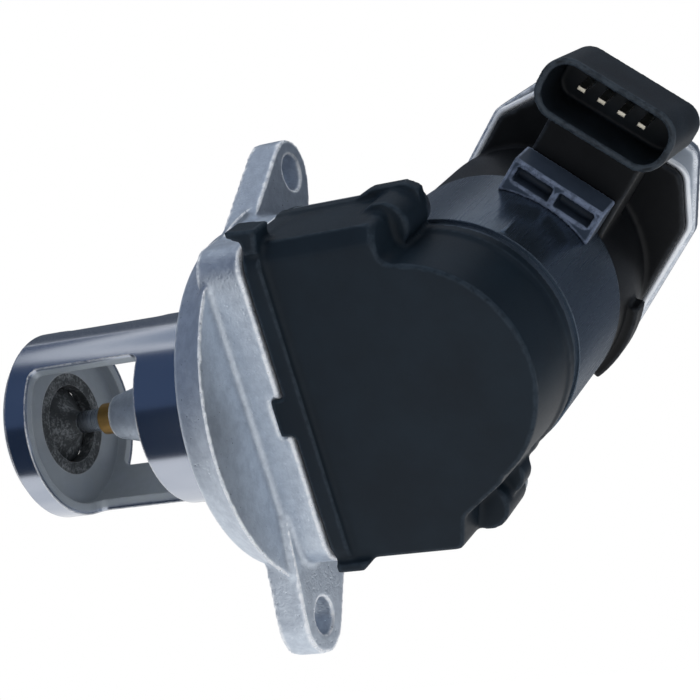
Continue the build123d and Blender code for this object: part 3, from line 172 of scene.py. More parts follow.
class NodeSketch:
    """Short names for the shader nodes that the finishes use.

    The pairs named SEEN are where a mask starts and where it is full. CREVICE_REACH is how far
    the grime and painted shade of an inner corner reach, in millimetres.
    """

    BEND_SEEN = (0.16, 0.6)
    SHARP_SEEN = (0.004, 0.12)
    OPEN_SEEN = (0.72, 0.95)
    CREVICE_REACH = 2.2
    CORNER_SAMPLES = 4

    def __init__(self, owner: bpy.types.Material | bpy.types.World) -> None:
        """Starts an empty node tree in a material or a world."""
        owner.use_nodes = True
        self.tree = owner.node_tree
        self.tree.nodes.clear()

    def node(self, kind: str, **settings: object) -> bpy.types.Node:
        """Adds a node and sets its plain settings.

        Args:
            kind: The node's type name.
            **settings: Properties of the node by name.

        Returns:
            The node.
        """
        made = self.tree.nodes.new(kind)
        for name, value in settings.items():
            setattr(made, name, value)
        return made

    def feed(self, socket: Socket, value: object) -> None:
        """Links another node's output to a socket, or sets the socket to a constant."""
        if isinstance(value, Socket):
            self.tree.links.new(value, socket)
        elif isinstance(value, tuple) and len(value) == 3 and socket.type == "RGBA":
            socket.default_value = (*value, 1.0)
        else:
            socket.default_value = value

    def place(self, axis: Axis, stretch: Sequence[float] = (1, 1, 1)) -> Socket:
        """Object coordinates in millimetres about an axis, stretched along each direction.

        Args:
            axis: The line that becomes the pattern's X.
            stretch: Scale along X, Y and Z after the turn.

        Returns:
            The vector output.
        """
        point, turn = axis.value
        coordinates = self.node("ShaderNodeTexCoord")
        turned = self.node("ShaderNodeMapping", vector_type="TEXTURE")
        self.feed(turned.inputs["Vector"], coordinates.outputs["Object"])
        self.feed(turned.inputs["Location"], Vector(point))
        self.feed(turned.inputs["Rotation"], Vector(turn))
        scaled = self.node("ShaderNodeMapping", vector_type="POINT")
        self.feed(scaled.inputs["Vector"], turned.outputs["Vector"])
        self.feed(scaled.inputs["Scale"], Vector(stretch) / MM)
        return scaled.outputs["Vector"]

    def math(self, operation: str, first: object, second: object = 0.0) -> Socket:
        """One arithmetic step."""
        made = self.node("ShaderNodeMath", operation=operation)
        self.feed(made.inputs[0], first)
        self.feed(made.inputs[1], second)
        return made.outputs[0]

    def multiply(self, first: object, *others: object) -> Socket:
        """The product of two or more values."""
        for other in others:
            first = self.math("MULTIPLY", first, other)
        return first

    def spread(self, value: Socket, low: float, high: float,
               to: Sequence[float] = (0, 1)) -> Socket:
        """Carries a range over to another, smoothly and clamped.

        Args:
            value: What is carried over.
            low: Start of its range.
            high: End of its range.
            to: Start and end of the new range.

        Returns:
            The new value.
        """
        made = self.node("ShaderNodeMapRange", interpolation_type="SMOOTHSTEP")
        for name, given in (("Value", value), ("From Min", low), ("From Max", high),
                            ("To Min", to[0]), ("To Max", to[1])):
            self.feed(made.inputs[name], given)
        return made.outputs["Result"]

    def noise(self, vector: Socket, size: float, detail: float = 3.0,
              rough: float = 0.55) -> Socket:
        """Soft noise.

        Args:
            vector: Where it is read.
            size: Size of its lumps in the vector's own units.
            detail: How many finer layers are added.
            rough: Strength of each finer layer against the one before.

        Returns:
            The noise, from about 0.2 to 0.8.
        """
        made = self.node("ShaderNodeTexNoise")
        for name, given in (("Vector", vector), ("Scale", 1 / size), ("Detail", detail),
                            ("Roughness", rough)):
            self.feed(made.inputs[name], given)
        return made.outputs["Fac"]

    def cells(self, vector: Socket, size: float) -> Socket:
        """Distance to the nearest of scattered points about the given size apart."""
        made = self.node("ShaderNodeTexVoronoi")
        self.feed(made.inputs["Vector"], vector)
        self.feed(made.inputs["Scale"], 1 / size)
        return made.outputs["Distance"]

    def blend(self, share: object, first: object, second: object) -> Socket:
        """Mixes two colours, with the given share of the second."""
        made = self.node("ShaderNodeMix", data_type="RGBA")
        self.feed(made.inputs[0], share)
        self.feed(made.inputs[6], first)
        self.feed(made.inputs[7], second)
        return made.outputs[2]

    def mix(self, share: object, first: Socket, second: Socket) -> Socket:
        """Mixes two shaders, with the given share of the second."""
        made = self.node("ShaderNodeMixShader")
        for number, value in enumerate((share, first, second)):
            self.feed(made.inputs[number], value)
        return made.outputs[0]

    def show(self, shader: Socket, kind: str = "ShaderNodeOutputMaterial") -> None:
        """Makes a shader the surface of the tree's owner."""
        self.feed(self.node(kind).inputs["Surface"], shader)

    def rays(self) -> tuple[Socket, Socket]:
        """Whether a ray was mirrored or passed on, and whether it was that or the camera's."""
        path = self.node("ShaderNodeLightPath")
        mirrored = self.math("MAXIMUM", path.outputs["Is Glossy Ray"],
                             path.outputs["Is Transmission Ray"])
        return mirrored, self.math("MAXIMUM", path.outputs["Is Camera Ray"], mirrored)

    def radius(self, axis: Axis) -> tuple[Socket, Socket]:
        """Place along an axis and distance from it, both in millimetres."""
        split = self.node("ShaderNodeSeparateXYZ")
        self.feed(split.inputs[0], self.place(axis))
        squares = [self.math("POWER", split.outputs[name], 2.0) for name in ("Y", "Z")]
        return split.outputs["X"], self.math("SQRT", self.math("ADD", *squares))

    def rings(self, axis: Axis, pitch: float) -> Socket:
        """Fine lines at a constant place along the axis and a constant radius about it."""
        along, radius = self.radius(axis)
        join = self.node("ShaderNodeCombineXYZ")
        self.feed(join.inputs["X"], along)
        self.feed(join.inputs["Y"], radius)
        return self.noise(join.outputs[0], pitch, 2.0, 0.7)

    def corners(self, width: float) -> tuple[Socket, Socket, Socket]:
        """Finds the edges that stand out and the corners that lie in.

        Args:
            width: Radius of the edge's rounding in millimetres.

        Returns:
            The rounded normal, the share of outer edge, and the share of inner corner.
        """
        rounded = self.node("ShaderNodeBevel", samples=self.CORNER_SAMPLES)
        self.feed(rounded.inputs["Radius"], width * MM)
        true = self.node("ShaderNodeNewGeometry")
        dot = self.node("ShaderNodeVectorMath", operation="DOT_PRODUCT")
        self.feed(dot.inputs[0], rounded.outputs[0])
        self.feed(dot.inputs[1], true.outputs["Normal"])
        bend = self.math("SUBTRACT", 1.0, dot.outputs["Value"])
        hollow = self.node("ShaderNodeAmbientOcclusion", samples=self.CORNER_SAMPLES,
                           only_local=True)
        self.feed(hollow.inputs["Distance"], self.CREVICE_REACH * MM)
        open_share = self.spread(hollow.outputs["AO"], *self.OPEN_SEEN)
        sharp = self.multiply(self.spread(bend, *self.SHARP_SEEN), open_share)
        eased = self.node("ShaderNodeAttribute", attribute_type="GEOMETRY", attribute_name=BEND)
        edge = self.math("MAXIMUM", sharp, self.spread(eased.outputs["Fac"], *self.BEND_SEEN))
        return rounded.outputs[0], edge, self.math("SUBTRACT", 1.0, open_share)


class Painter:
    """Turns finishes into node materials and puts them on pieces.

    MASKS says where each grain's second colour starts, where it is full, and how strong it is.
    PIT belongs to the cast grain, STREAK to the drawn one and FLAKE to the sooted one, with
    sizes as shares of the grain's. The numbers named STRETCH draw a pattern out along X. The
    numbers for the bare edges and those named SOOT say how bare edges and soot lie, in
    millimetres, and how far they change the metal and the roughness. The bare edges are lighter
    and less metallic: partly real wear, partly a painted highlight.
    """

    MASKS = {
        Grain.CAST: (0.32, 0.68, (0, 0.9)),
        Grain.TURNED: (0.35, 0.7),
        Grain.DRAWN: (0.45, 0.95),
        Grain.MOULDED: (0.3, 0.72),
        Grain.SOOTED: (0.2, 0.42),
        Grain.PRESSED: (0.3, 0.72),
        Grain.WOUND: (0.4, 0.6),
    }
    PIT_SPACING = 2.4
    PIT_SEEN = (0.05, 0.32)
    PIT_FLOOR = 0.45
    STREAK_SHARE = 0.35
    FLAKE_SIZE = 3.0
    FLAKE_HEIGHT = 0.8
    STREAK_STRETCH = (0.04, 1, 1)
    CLOUD_STRETCH = (0.2, 1, 1)
    # Draws turned metal's colour clouds out along the axis: partly stains, partly painted
    # reflection streaks.
    STAIN_AND_REFLECTION_STRETCH = (0.25, 1, 1)
    WEAR_AND_HIGHLIGHT_SIZE = 1.6
    WEAR_AND_HIGHLIGHT_SEEN = (0.36, 0.58)
    WEAR_AND_HIGHLIGHT_LEAST = 0.35
    WEAR_AND_HIGHLIGHT_PAINT = 0.75
    WEAR_AND_HIGHLIGHT_GLOSS = 0.3
    SOOT_SIZE = 5.0
    SOOT_SEEN = (0.3, 0.62)
    SOOT_LEAST = 0.7
    SOOT_FADE = 1.1
    SOOT_PAINT = 0.8
    SOOT_ROUGH = 0.35
    GRIME_AND_SHADE_TONE = 0.25

    def __init__(self) -> None:
        """Starts with no materials made."""
        self.made: dict[str, bpy.types.Material] = {}

    def structure(self, sketch: NodeSketch, finish: Finish) -> tuple[Socket, Socket]:
        """Fine structure of a finish.

        Args:
            sketch: The material's nodes.
            finish: The finish that is painted.

        Returns:
            The relief, about 0 to 1, and a mask from 0 to 1 for its second colour.
        """
        grain, axis = finish.grain, finish.axis
        if grain is Grain.TURNED:
            relief = sketch.rings(axis, finish.grain_size)
            # Clouds drawn out along the axis: partly stains, partly painted reflection streaks.
            tone = sketch.noise(sketch.place(axis, self.STAIN_AND_REFLECTION_STRETCH), finish.mottle_size)
        elif grain is Grain.DRAWN:
            streaked = sketch.place(axis, self.STREAK_STRETCH)
            relief = sketch.noise(streaked, finish.grain_size, 4.0, 0.7)
            clouds = sketch.noise(sketch.place(axis, self.CLOUD_STRETCH), finish.mottle_size)
            tone = sketch.math("ADD", sketch.multiply(relief, self.STREAK_SHARE), clouds)
        elif grain is Grain.WOUND:
            relief = tone = sketch.rings(axis, finish.grain_size)
        else:
            point = sketch.place(axis)
            tone = sketch.noise(point, finish.mottle_size, 4.0, 0.6)
            relief = sketch.noise(point, finish.grain_size, 3.0, 0.65)
            if grain is Grain.CAST:
                holes = sketch.cells(point, finish.grain_size * self.PIT_SPACING)
                pits = sketch.spread(holes, *self.PIT_SEEN)
                relief = sketch.multiply(relief, sketch.math("ADD", self.PIT_FLOOR, pits))
            elif grain is Grain.SOOTED:
                tone = sketch.multiply(relief, tone)
                flakes = sketch.cells(point, finish.grain_size * self.FLAKE_SIZE)
                relief = sketch.math(
                    "ADD", relief, sketch.multiply(flakes, self.FLAKE_HEIGHT))
        return relief, sketch.spread(tone, *self.MASKS[grain])

    def soot(self, sketch: NodeSketch, finish: Finish) -> Socket:
        """Share of soot, which lies in clouds on what is near the valve axis.

        Args:
            sketch: The material's nodes.
            finish: The finish, whose soot_radius is where the soot ends.

        Returns:
            The share, from 0 to the finish's soot_share.
        """
        reach = sketch.radius(Axis.VALVE)[1]
        inside = sketch.spread(
            reach, finish.soot_radius, finish.soot_radius + self.SOOT_FADE, (1, 0))
        drift = sketch.noise(sketch.place(Axis.VALVE), self.SOOT_SIZE, 5.0, 0.6)
        clouds = sketch.spread(drift, *self.SOOT_SEEN, (self.SOOT_LEAST, 1))
        return sketch.multiply(inside, clouds, finish.soot_share)

    def material(self, name: str, finish: Finish) -> bpy.types.Material:
        """Makes a finish's material once.

        Args:
            name: Name of the finish.
            finish: Its values.

        Returns:
            The material.
        """
        if name in self.made:
            return self.made[name]
        material = bpy.data.materials.new(name + "_finish")
        sketch = NodeSketch(material)
        relief, tone = self.structure(sketch, finish)
        rounded, edge, crevice = sketch.corners(finish.edge_width)
        point = sketch.place(finish.axis)
        patches = sketch.noise(point, self.WEAR_AND_HIGHLIGHT_SIZE, 4.0, 0.7)
        broken = sketch.spread(patches, *self.WEAR_AND_HIGHLIGHT_SEEN, (self.WEAR_AND_HIGHLIGHT_LEAST, 1))
        # Outer edges are lightened and made less metallic: partly real wear, partly a painted
        # highlight.
        wear_and_highlight = sketch.multiply(edge, broken, finish.edge_share)
        base = sketch.blend(
            sketch.multiply(tone, finish.mottle_share), finish.colour, finish.shade)
        base = sketch.blend(wear_and_highlight, base, finish.edge_colour)
        # Inner corners that the occlusion finds hollow are darkened: partly grime, partly
        # painted shade.
        grime_and_shade = tuple(v * self.GRIME_AND_SHADE_TONE for v in finish.shade)
        base = sketch.blend(sketch.multiply(crevice, finish.crevice_share), base, grime_and_shade)
        roughness = finish.roughness
        metallic = finish.metallic
        if metallic:
            bare = sketch.math("SUBTRACT", 1.0, sketch.multiply(wear_and_highlight, self.WEAR_AND_HIGHLIGHT_PAINT))
            metallic = sketch.multiply(metallic, bare)
        if finish.soot_share:
            soot = self.soot(sketch, finish)
            base = sketch.blend(soot, base, finish.soot_colour)
            roughness = sketch.math("ADD", roughness, sketch.multiply(soot, self.SOOT_ROUGH))
            clean = sketch.math("SUBTRACT", 1.0, sketch.multiply(soot, self.SOOT_PAINT))
            metallic = sketch.multiply(metallic, clean)
        swing = sketch.multiply(
            sketch.math("SUBTRACT", relief, 0.5), finish.roughness_swing * 2)
        gloss = sketch.multiply(wear_and_highlight, finish.roughness * self.WEAR_AND_HIGHLIGHT_GLOSS)
        rough = sketch.math("ADD", roughness, sketch.math("SUBTRACT", swing, gloss))
        bump = sketch.node("ShaderNodeBump")
        sketch.feed(bump.inputs["Distance"], finish.grain_height * MM)
        sketch.feed(bump.inputs["Height"], relief)
        sketch.feed(bump.inputs["Normal"], rounded)
        shader = sketch.node("ShaderNodeBsdfPrincipled")
        given = {"Base Color": base, "Metallic": metallic, "Roughness": rough,
                 "Coat Weight": finish.coat, "Specular IOR Level": finish.specular,
                 "Normal": bump.outputs["Normal"]}
        for socket, value in given.items():
            sketch.feed(shader.inputs[socket], value)
        sketch.show(shader.outputs[0])
        self.made[name] = material
        return material

    def dress(self, piece: bpy.types.Object, name: str, finish: Finish) -> None:
        """Puts a finish on every face of a piece through its material slots."""
        made = self.material(name, finish)
        if not piece.data.materials:
            piece.data.materials.append(made)
        for slot in piece.material_slots:
            slot.material = made


FINISHES: dict[str, Finish] = {
    # The white outer edges of this steel are a painted highlight.
    "polished_steel": Finish(
        srgb("b4bac6"), srgb("929cac"), Grain.TURNED, metallic=1.0, roughness=0.17,
        roughness_swing=0.07, grain_size=0.25, grain_height=0.002, mottle_size=14.0,
        mottle_share=0.5, edge_share=1.0, edge_colour=srgb("ffffff"), edge_width=0.55,
        soot_radius=18.6, soot_share=0.92, soot_colour=srgb("959ca1")),
    "turned_steel": Finish(
        srgb("b4bac2"), srgb("8b9099"), Grain.TURNED, metallic=1.0, roughness=0.28,
        grain_size=0.3, grain_height=0.003, mottle_size=6.0),
    "sooty_steel": Finish(
        srgb("3f4244"), srgb("9a9ea1"), Grain.SOOTED, metallic=0.35, roughness=0.55,
        roughness_swing=0.2, grain_size=0.6, grain_height=0.14, mottle_size=3.0,
        mottle_share=0.7, edge_colour=srgb("b9bcc0"), edge_share=0.45, crevice_share=0.5),
    "spring_steel": Finish(
        srgb("7d8590"), srgb("4d535c"), Grain.DRAWN, metallic=1.0, roughness=0.3),
    "bush_brass": Finish(
        srgb("c29a5c"), srgb("94703c"), Grain.TURNED, metallic=0.9, roughness=0.34,
        grain_size=0.25, grain_height=0.004, mottle_size=2.5, edge_colour=srgb("e0bd80"),
        edge_width=0.2, crevice_share=0.5),
    "seal_rubber": Finish(
        srgb("17181a"), srgb("222326"), Grain.MOULDED, roughness=0.75, edge_share=0.1),
    "gasket_rubber": Finish(
        srgb("26292c"), srgb("34383c"), Grain.MOULDED, roughness=0.8, edge_share=0.1),
    "cast_aluminium": Finish(
        srgb("cdd6e1"), srgb("a7b1bf"), Grain.CAST, metallic=0.86, roughness=0.38,
        roughness_swing=0.2, grain_size=0.5, grain_height=0.06, mottle_size=2.2,
        mottle_share=0.5, edge_colour=srgb("f8fafd"), edge_width=0.6, edge_share=0.95,
        crevice_share=0.25),
    "plate_aluminium": Finish(
        srgb("aab3bf"), srgb("8f99a7"), Grain.DRAWN, metallic=0.95, roughness=0.34,
        roughness_swing=0.14, grain_size=0.3, grain_height=0.006, mottle_size=5.0,
        edge_colour=srgb("f0f4fa"), edge_width=0.5, edge_share=0.6),
    # Near-white finish of the rear plate's rim bead: a painted highlight on a real rim.
    "bright_edge": Finish(
        srgb("f1f4f8"), srgb("d3dae3"), Grain.DRAWN, metallic=0.45, roughness=0.36,
        grain_size=0.3, grain_height=0.004, mottle_size=4.0, edge_share=0.3),
    "cover_plastic": Finish(
        srgb("131d26"), srgb("18242e"), Grain.MOULDED, roughness=0.47, roughness_swing=0.12,
        grain_size=0.28, grain_height=0.012, mottle_size=16.0, mottle_share=0.8,
        edge_colour=srgb("46525e"), edge_width=0.7, edge_share=0.25, crevice_share=0.35,
        specular=0.16),
    "can_steel": Finish(
        srgb("566474"), srgb("414e5b"), Grain.DRAWN, metallic=0.85, roughness=0.25,
        roughness_swing=0.12, grain_size=0.35, grain_height=0.004, mottle_size=9.0,
        edge_colour=srgb("8a96a4"), edge_share=0.4, axis=Axis.MOTOR),
    "plate_steel": Finish(
        srgb("8f979f"), srgb("6c737b"), Grain.DRAWN, metallic=1.0, roughness=0.4),
    "rear_plastic": Finish(
        srgb("0d0f12"), srgb("16181b"), Grain.MOULDED, roughness=0.42, roughness_swing=0.14,
        grain_size=0.3, grain_height=0.012, mottle_size=10.0, mottle_share=0.8,
        edge_colour=srgb("41474f"), edge_width=0.6, edge_share=0.25, crevice_share=0.3,
        specular=0.16),
    "socket_plastic": Finish(
        srgb("14191e"), srgb("20272e"), Grain.MOULDED, roughness=0.4, roughness_swing=0.14,
        grain_size=0.26, grain_height=0.01, mottle_size=8.0, mottle_share=0.8,
        edge_colour=srgb("5a6570"), edge_width=0.5, edge_share=0.3, crevice_share=0.4,
        specular=0.16),
    "saddle_plastic": Finish(
        srgb("3a4453"), srgb("2f3947"), Grain.MOULDED, roughness=0.36, roughness_swing=0.12,
        grain_size=0.3, grain_height=0.012, mottle_size=5.0, mottle_share=0.7,
        edge_colour=srgb("8490a8"), edge_width=0.55, edge_share=0.7, crevice_share=0.3,
        specular=0.16),
    "gear_plastic": Finish(
        srgb("cfc9b8"), srgb("b9b19c"), Grain.MOULDED, roughness=0.5, grain_size=0.4,
        edge_share=0.2),
    "sintered_steel": Finish(
        srgb("7c7f83"), srgb("5d6064"), Grain.PRESSED, metallic=0.8, roughness=0.5,
        grain_size=0.2, grain_height=0.02),
    "core_steel": Finish(
        srgb("8a8d92"), srgb("6a6d72"), Grain.TURNED, metallic=0.9, roughness=0.42,
        grain_size=0.5, grain_height=0.03, axis=Axis.MOTOR),
    "winding_copper": Finish(
        srgb("a8582c"), srgb("6f3216"), Grain.WOUND, metallic=0.8, roughness=0.28,
        grain_size=0.5, grain_height=0.12, mottle_size=3.0, edge_share=0.2, coat=0.5,
        edge_colour=srgb("d98a55"), axis=Axis.MOTOR),
    "commutator_copper": Finish(
        srgb("b4713f"), srgb("7c4a28"), Grain.TURNED, metallic=1.0, roughness=0.3,
        grain_size=0.3, axis=Axis.MOTOR, edge_colour=srgb("dc9c6a")),
    "magnet_ferrite": Finish(
        srgb("2d2f33"), srgb("3d4045"), Grain.PRESSED, roughness=0.6, grain_size=0.25,
        grain_height=0.02, edge_share=0.25),
    "brush_carbon": Finish(
        srgb("202124"), srgb("33353a"), Grain.PRESSED, metallic=0.2, roughness=0.45),
    "board_green": Finish(
        srgb("1e5a37"), srgb("174a2c"), Grain.MOULDED, roughness=0.4, mottle_size=2.0,
        edge_share=0.2),
    "pin_metal": Finish(
        srgb("c9c5b9"), srgb("a39c8a"), Grain.DRAWN, metallic=1.0, roughness=0.3,
        edge_colour=srgb("fbf6e8")),
    "screw_steel": Finish(
        srgb("a2a8ae"), srgb("7d848c"), Grain.TURNED, metallic=1.0, roughness=0.33,
        grain_size=0.25, axis=Axis.MOTOR),
}


def motor_point(x: Places, w: Places, n: Places) -> np.ndarray:
    """Carries places given by X, W and N in millimetres over to the shared frame in metres.

    W lies along the motor axis, which is turned by its tilt from Y towards Z, and N is square
    to it and to X.

    Args:
        x: Place along the valve axis.
        w: Place along the motor axis.
        n: Place across both.

    Returns:
        Points with the last axis holding X, Y and Z.
    """
    x, w, n = np.broadcast_arrays(x, w, n)
    y = w * math.cos(MOTOR_TILT) - n * math.sin(MOTOR_TILT)
    z = w * math.sin(MOTOR_TILT) + n * math.cos(MOTOR_TILT)
    return np.stack((x, y, z), axis=-1) * MM


def grid_piece(name: str, points: np.ndarray, wrap: tuple[bool, bool]) -> bpy.types.Object:
    """Makes a piece from a grid of points, with one quad between each four neighbours.

    Args:
        name: The piece's name.
        points: Array of rows, columns and X, Y, Z in metres.
        wrap: Whether the rows and the columns close on themselves.

    Returns:
        The piece, linked to the scene.
    """
    rows, columns = points.shape[:2]
    index = np.arange(rows * columns).reshape(rows, columns)
    if wrap[0]:
        index = np.concatenate((index, index[:1]), axis=0)
    if wrap[1]:
        index = np.concatenate((index, index[:, :1]), axis=1)
    quads = np.stack((index[:-1, :-1], index[:-1, 1:], index[1:, 1:], index[1:, :-1]), axis=-1)
    mesh = bpy.data.meshes.new(name)
    mesh.from_pydata(points.reshape(-1, 3).tolist(), [], quads.reshape(-1, 4).tolist())
    merged = bmesh.new()
    merged.from_mesh(mesh)
    bmesh.ops.remove_doubles(merged, verts=merged.verts, dist=GRID_MERGE * MM)
    bmesh.ops.recalc_face_normals(merged, faces=merged.faces)
    merged.to_mesh(mesh)
    merged.free()
    mesh.shade_smooth()
    piece = bpy.data.objects.new(name, mesh)
    bpy.context.scene.collection.objects.link(piece)
    return piece


def store_bend(mesh: bpy.types.Mesh, lattice: float) -> None:
    """Stores how sharply the surface bends outwards at each point, in one over millimetres.

    That is the point's height over the mean of its neighbours, along its normal, times four and
    over the square of the lattice spacing, then averaged with its neighbours' values.

    Args:
        mesh: A mesh of even quads.
        lattice: Their spacing in millimetres.
    """
    count = len(mesh.vertices)
    place = np.empty(count * 3)
    mesh.vertices.foreach_get("co", place)
    normal = np.empty(count * 3)
    mesh.vertex_normals.foreach_get("vector", normal)
    pairs = np.empty(len(mesh.edges) * 2, dtype=np.int32)
    mesh.edges.foreach_get("vertices", pairs)
    place = place.reshape(-1, 3) / MM
    normal = normal.reshape(-1, 3)
    ends = np.concatenate((pairs[0::2], pairs[1::2]))
    others = np.concatenate((pairs[1::2], pairs[0::2]))
    near = np.maximum(np.bincount(ends, minlength=count), 1)

    def mean(values: np.ndarray) -> np.ndarray:
        """Mean of the neighbours' values at each point."""
        return np.bincount(ends, weights=values[others], minlength=count) / near

    middle = np.stack([mean(place[:, k]) for k in range(3)], axis=-1)
    bend = ((place - middle) * normal).sum(axis=1) * 4 / lattice ** 2
    bend = (bend + mean(bend)) / 2
    mesh.attributes.new(BEND, "FLOAT", "POINT").data.foreach_set("value", bend)


@dataclass
class SubAssembly:
    """Pieces that are dressed together. The sizes in its kinds are in millimetres.

    Attributes:
        painter: Maker of the materials.
        nodes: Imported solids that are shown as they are.
    """

    frame: dict
    painter: Painter
    nodes: tuple[str, ...] = ()

    def finish_of(self, node: str) -> str:
        """Name of the finish that a node was packed with."""
        return self.frame["nodes"][node].data.materials[0].name.split(".")[0]

    def build(self) -> None:
        """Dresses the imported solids."""
        self.dress_nodes()

    def dress_nodes(self) -> None:
        """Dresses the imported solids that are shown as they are."""
        for node in self.nodes:
            name = self.finish_of(node)
            self.painter.dress(self.frame["nodes"][node], name, FINISHES[name])
            LOG.info("dressed %s in %s", node, name)

    def soften(self, node: str, body: str, lattice: float, passes: int) -> None:
        """Replaces a solid by a copy whose edges and inner corners are rounded as in its mould.

        The copy is merged, turned into one skin on a fine lattice, and each point is then moved
        half-way to the middle of its neighbours a few times.

        Args:
            node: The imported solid.
            body: The body that carries it.
            lattice: Lattice spacing in millimetres.
            passes: How often the points are eased.
        """
        name = self.finish_of(node)
        mesh = self.frame["nodes"][node].data.copy()
        merged = bmesh.new()
        merged.from_mesh(mesh)
        bmesh.ops.remove_doubles(merged, verts=merged.verts, dist=SOLID_MERGE * MM)
        merged.to_mesh(mesh)
        merged.free()
        rough = bpy.data.objects.new(node + "_rough", mesh)
        bpy.context.scene.collection.objects.link(rough)
        skin = rough.modifiers.new("skin", "REMESH")
        skin.mode = "VOXEL"
        skin.voxel_size = lattice * MM
        skin.use_smooth_shade = True
        ease = rough.modifiers.new("ease", "SMOOTH")
        ease.factor = 0.5
        ease.iterations = passes
        graph = bpy.context.evaluated_depsgraph_get()
        made = bpy.data.meshes.new_from_object(rough.evaluated_get(graph))
        bpy.data.objects.remove(rough)
        made.name = node + "_skin"
        made.materials.clear()
        made.shade_smooth()
        store_bend(made, lattice)
        piece = bpy.data.objects.new(node + "_skin", made)
        bpy.context.scene.collection.objects.link(piece)
        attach(piece, body)
        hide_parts(node)
        self.painter.dress(piece, name, FINISHES[name])
        LOG.info("softened %s into %d faces", node, len(made.polygons))


@dataclass
class ValveCage(SubAssembly):
    """The windowed steel tube with the poppet valve, its seat and its guide."""

    nodes: tuple[str, ...] = (
        "valve_cage", "seat_ring", "valve_head", "valve_stem", "guide_bush", "stem_seal",
        "spring_seat", "spring_retainer", "stem_yoke")


@dataclass
class ReturnSpring(SubAssembly):
    """The coil spring that closes the valve.

    Attributes:
        radius: Radius of the coil's centre line.
        wire: Radius of the wire.
        turns: Open turns, with closed_turns more at each end.
        left: Place of the spring's fixed end along X, and right of its other end.
        lift: How far the valve opens. Not used.
        steps: Sections along the wire, of section_steps points each.
        tips: One over the share of the wire in which an end is rounded off.
        point: Radius of an end's point, as a share of the wire's.
    """

    radius: float = 8.0
    wire: float = 0.8
    turns: float = 4.5
    closed_turns: float = 0.9
    left: float = -15.7
    right: float = 0.6
    lift: float = 7.2
    steps: int = 420
    section_steps: int = 14
    tips: float = 60.0
    point: float = 0.0001

    def build(self) -> None:
        """Carries a round wire section along a helix whose end turns lie flat.

        The centre line turns evenly about the valve axis. It moves along the axis at a constant
        rate over the open turns and stays in place over the closed ones, so that these lie
        against the washers.
        """
        along = np.linspace(0, 1, self.steps)
        total = self.turns + 2 * self.closed_turns
        share = np.clip((along * total - self.closed_turns) / self.turns, 0, 1)
        start = self.left + self.wire
        stop = self.right - self.wire
        angle = 2 * np.pi * total * along
        out = np.stack((np.zeros_like(angle), np.cos(angle), np.sin(angle)), axis=-1)
        centre = out * self.radius
        centre[:, 0] = start + (stop - start) * share
        section = np.linspace(0, 2 * np.pi, self.section_steps, endpoint=False)[None, :, None]
        taper = np.minimum(1, np.minimum(along, 1 - along) * self.tips + self.point)
        ring = out[:, None] * np.cos(section) + np.array((1.0, 0.0, 0.0)) * np.sin(section)
        points = (centre[:, None] + ring * self.wire * taper[:, None, None]) * MM
        spring = grid_piece("return_spring_coil", points, (False, True))
        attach(spring, "housing")
        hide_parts("return_spring")
        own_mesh(spring)
        self.painter.dress(spring, "spring_steel", FINISHES["spring_steel"])
        LOG.info("wound %s", spring.name)


@dataclass
class CastHousing(SubAssembly):
    """The cast body with its two bolt ears, and the gasket on it."""

    nodes: tuple[str, ...] = ("cover_gasket",)
    lattice: float = 0.52
    passes: int = 3

    def build(self) -> None:
        """Softens the casting and dresses the gasket."""
        self.soften("valve_housing", "housing", self.lattice, self.passes)
        self.dress_nodes()


@dataclass
class GearCover(SubAssembly):
    """The moulded cover over the gears, with its screws."""

    nodes: tuple[str, ...] = ("cover_screws", "sensor_board")
    lattice: float = 0.5
    passes: int = 5

    def build(self) -> None:
        """Softens the moulding and dresses its screws and the sensor's board."""
        self.soften("gear_cover", "housing", self.lattice, self.passes)
        self.dress_nodes()


@dataclass
class DriveTrain(SubAssembly):
    """Gears, crank and the motor's inner parts."""

    nodes: tuple[str, ...] = (
        "idler_axle", "idler_gear", "crank_shaft", "sector_gear", "sensor_magnet", "crank_arm",
        "crank_pin", "shaft_bushes", "motor_shaft", "armature_core", "windings", "commutator",
        "motor_pinion", "motor_magnets", "front_bearing", "rear_bearing", "brush_holder",
        "brushes", "motor_plate")


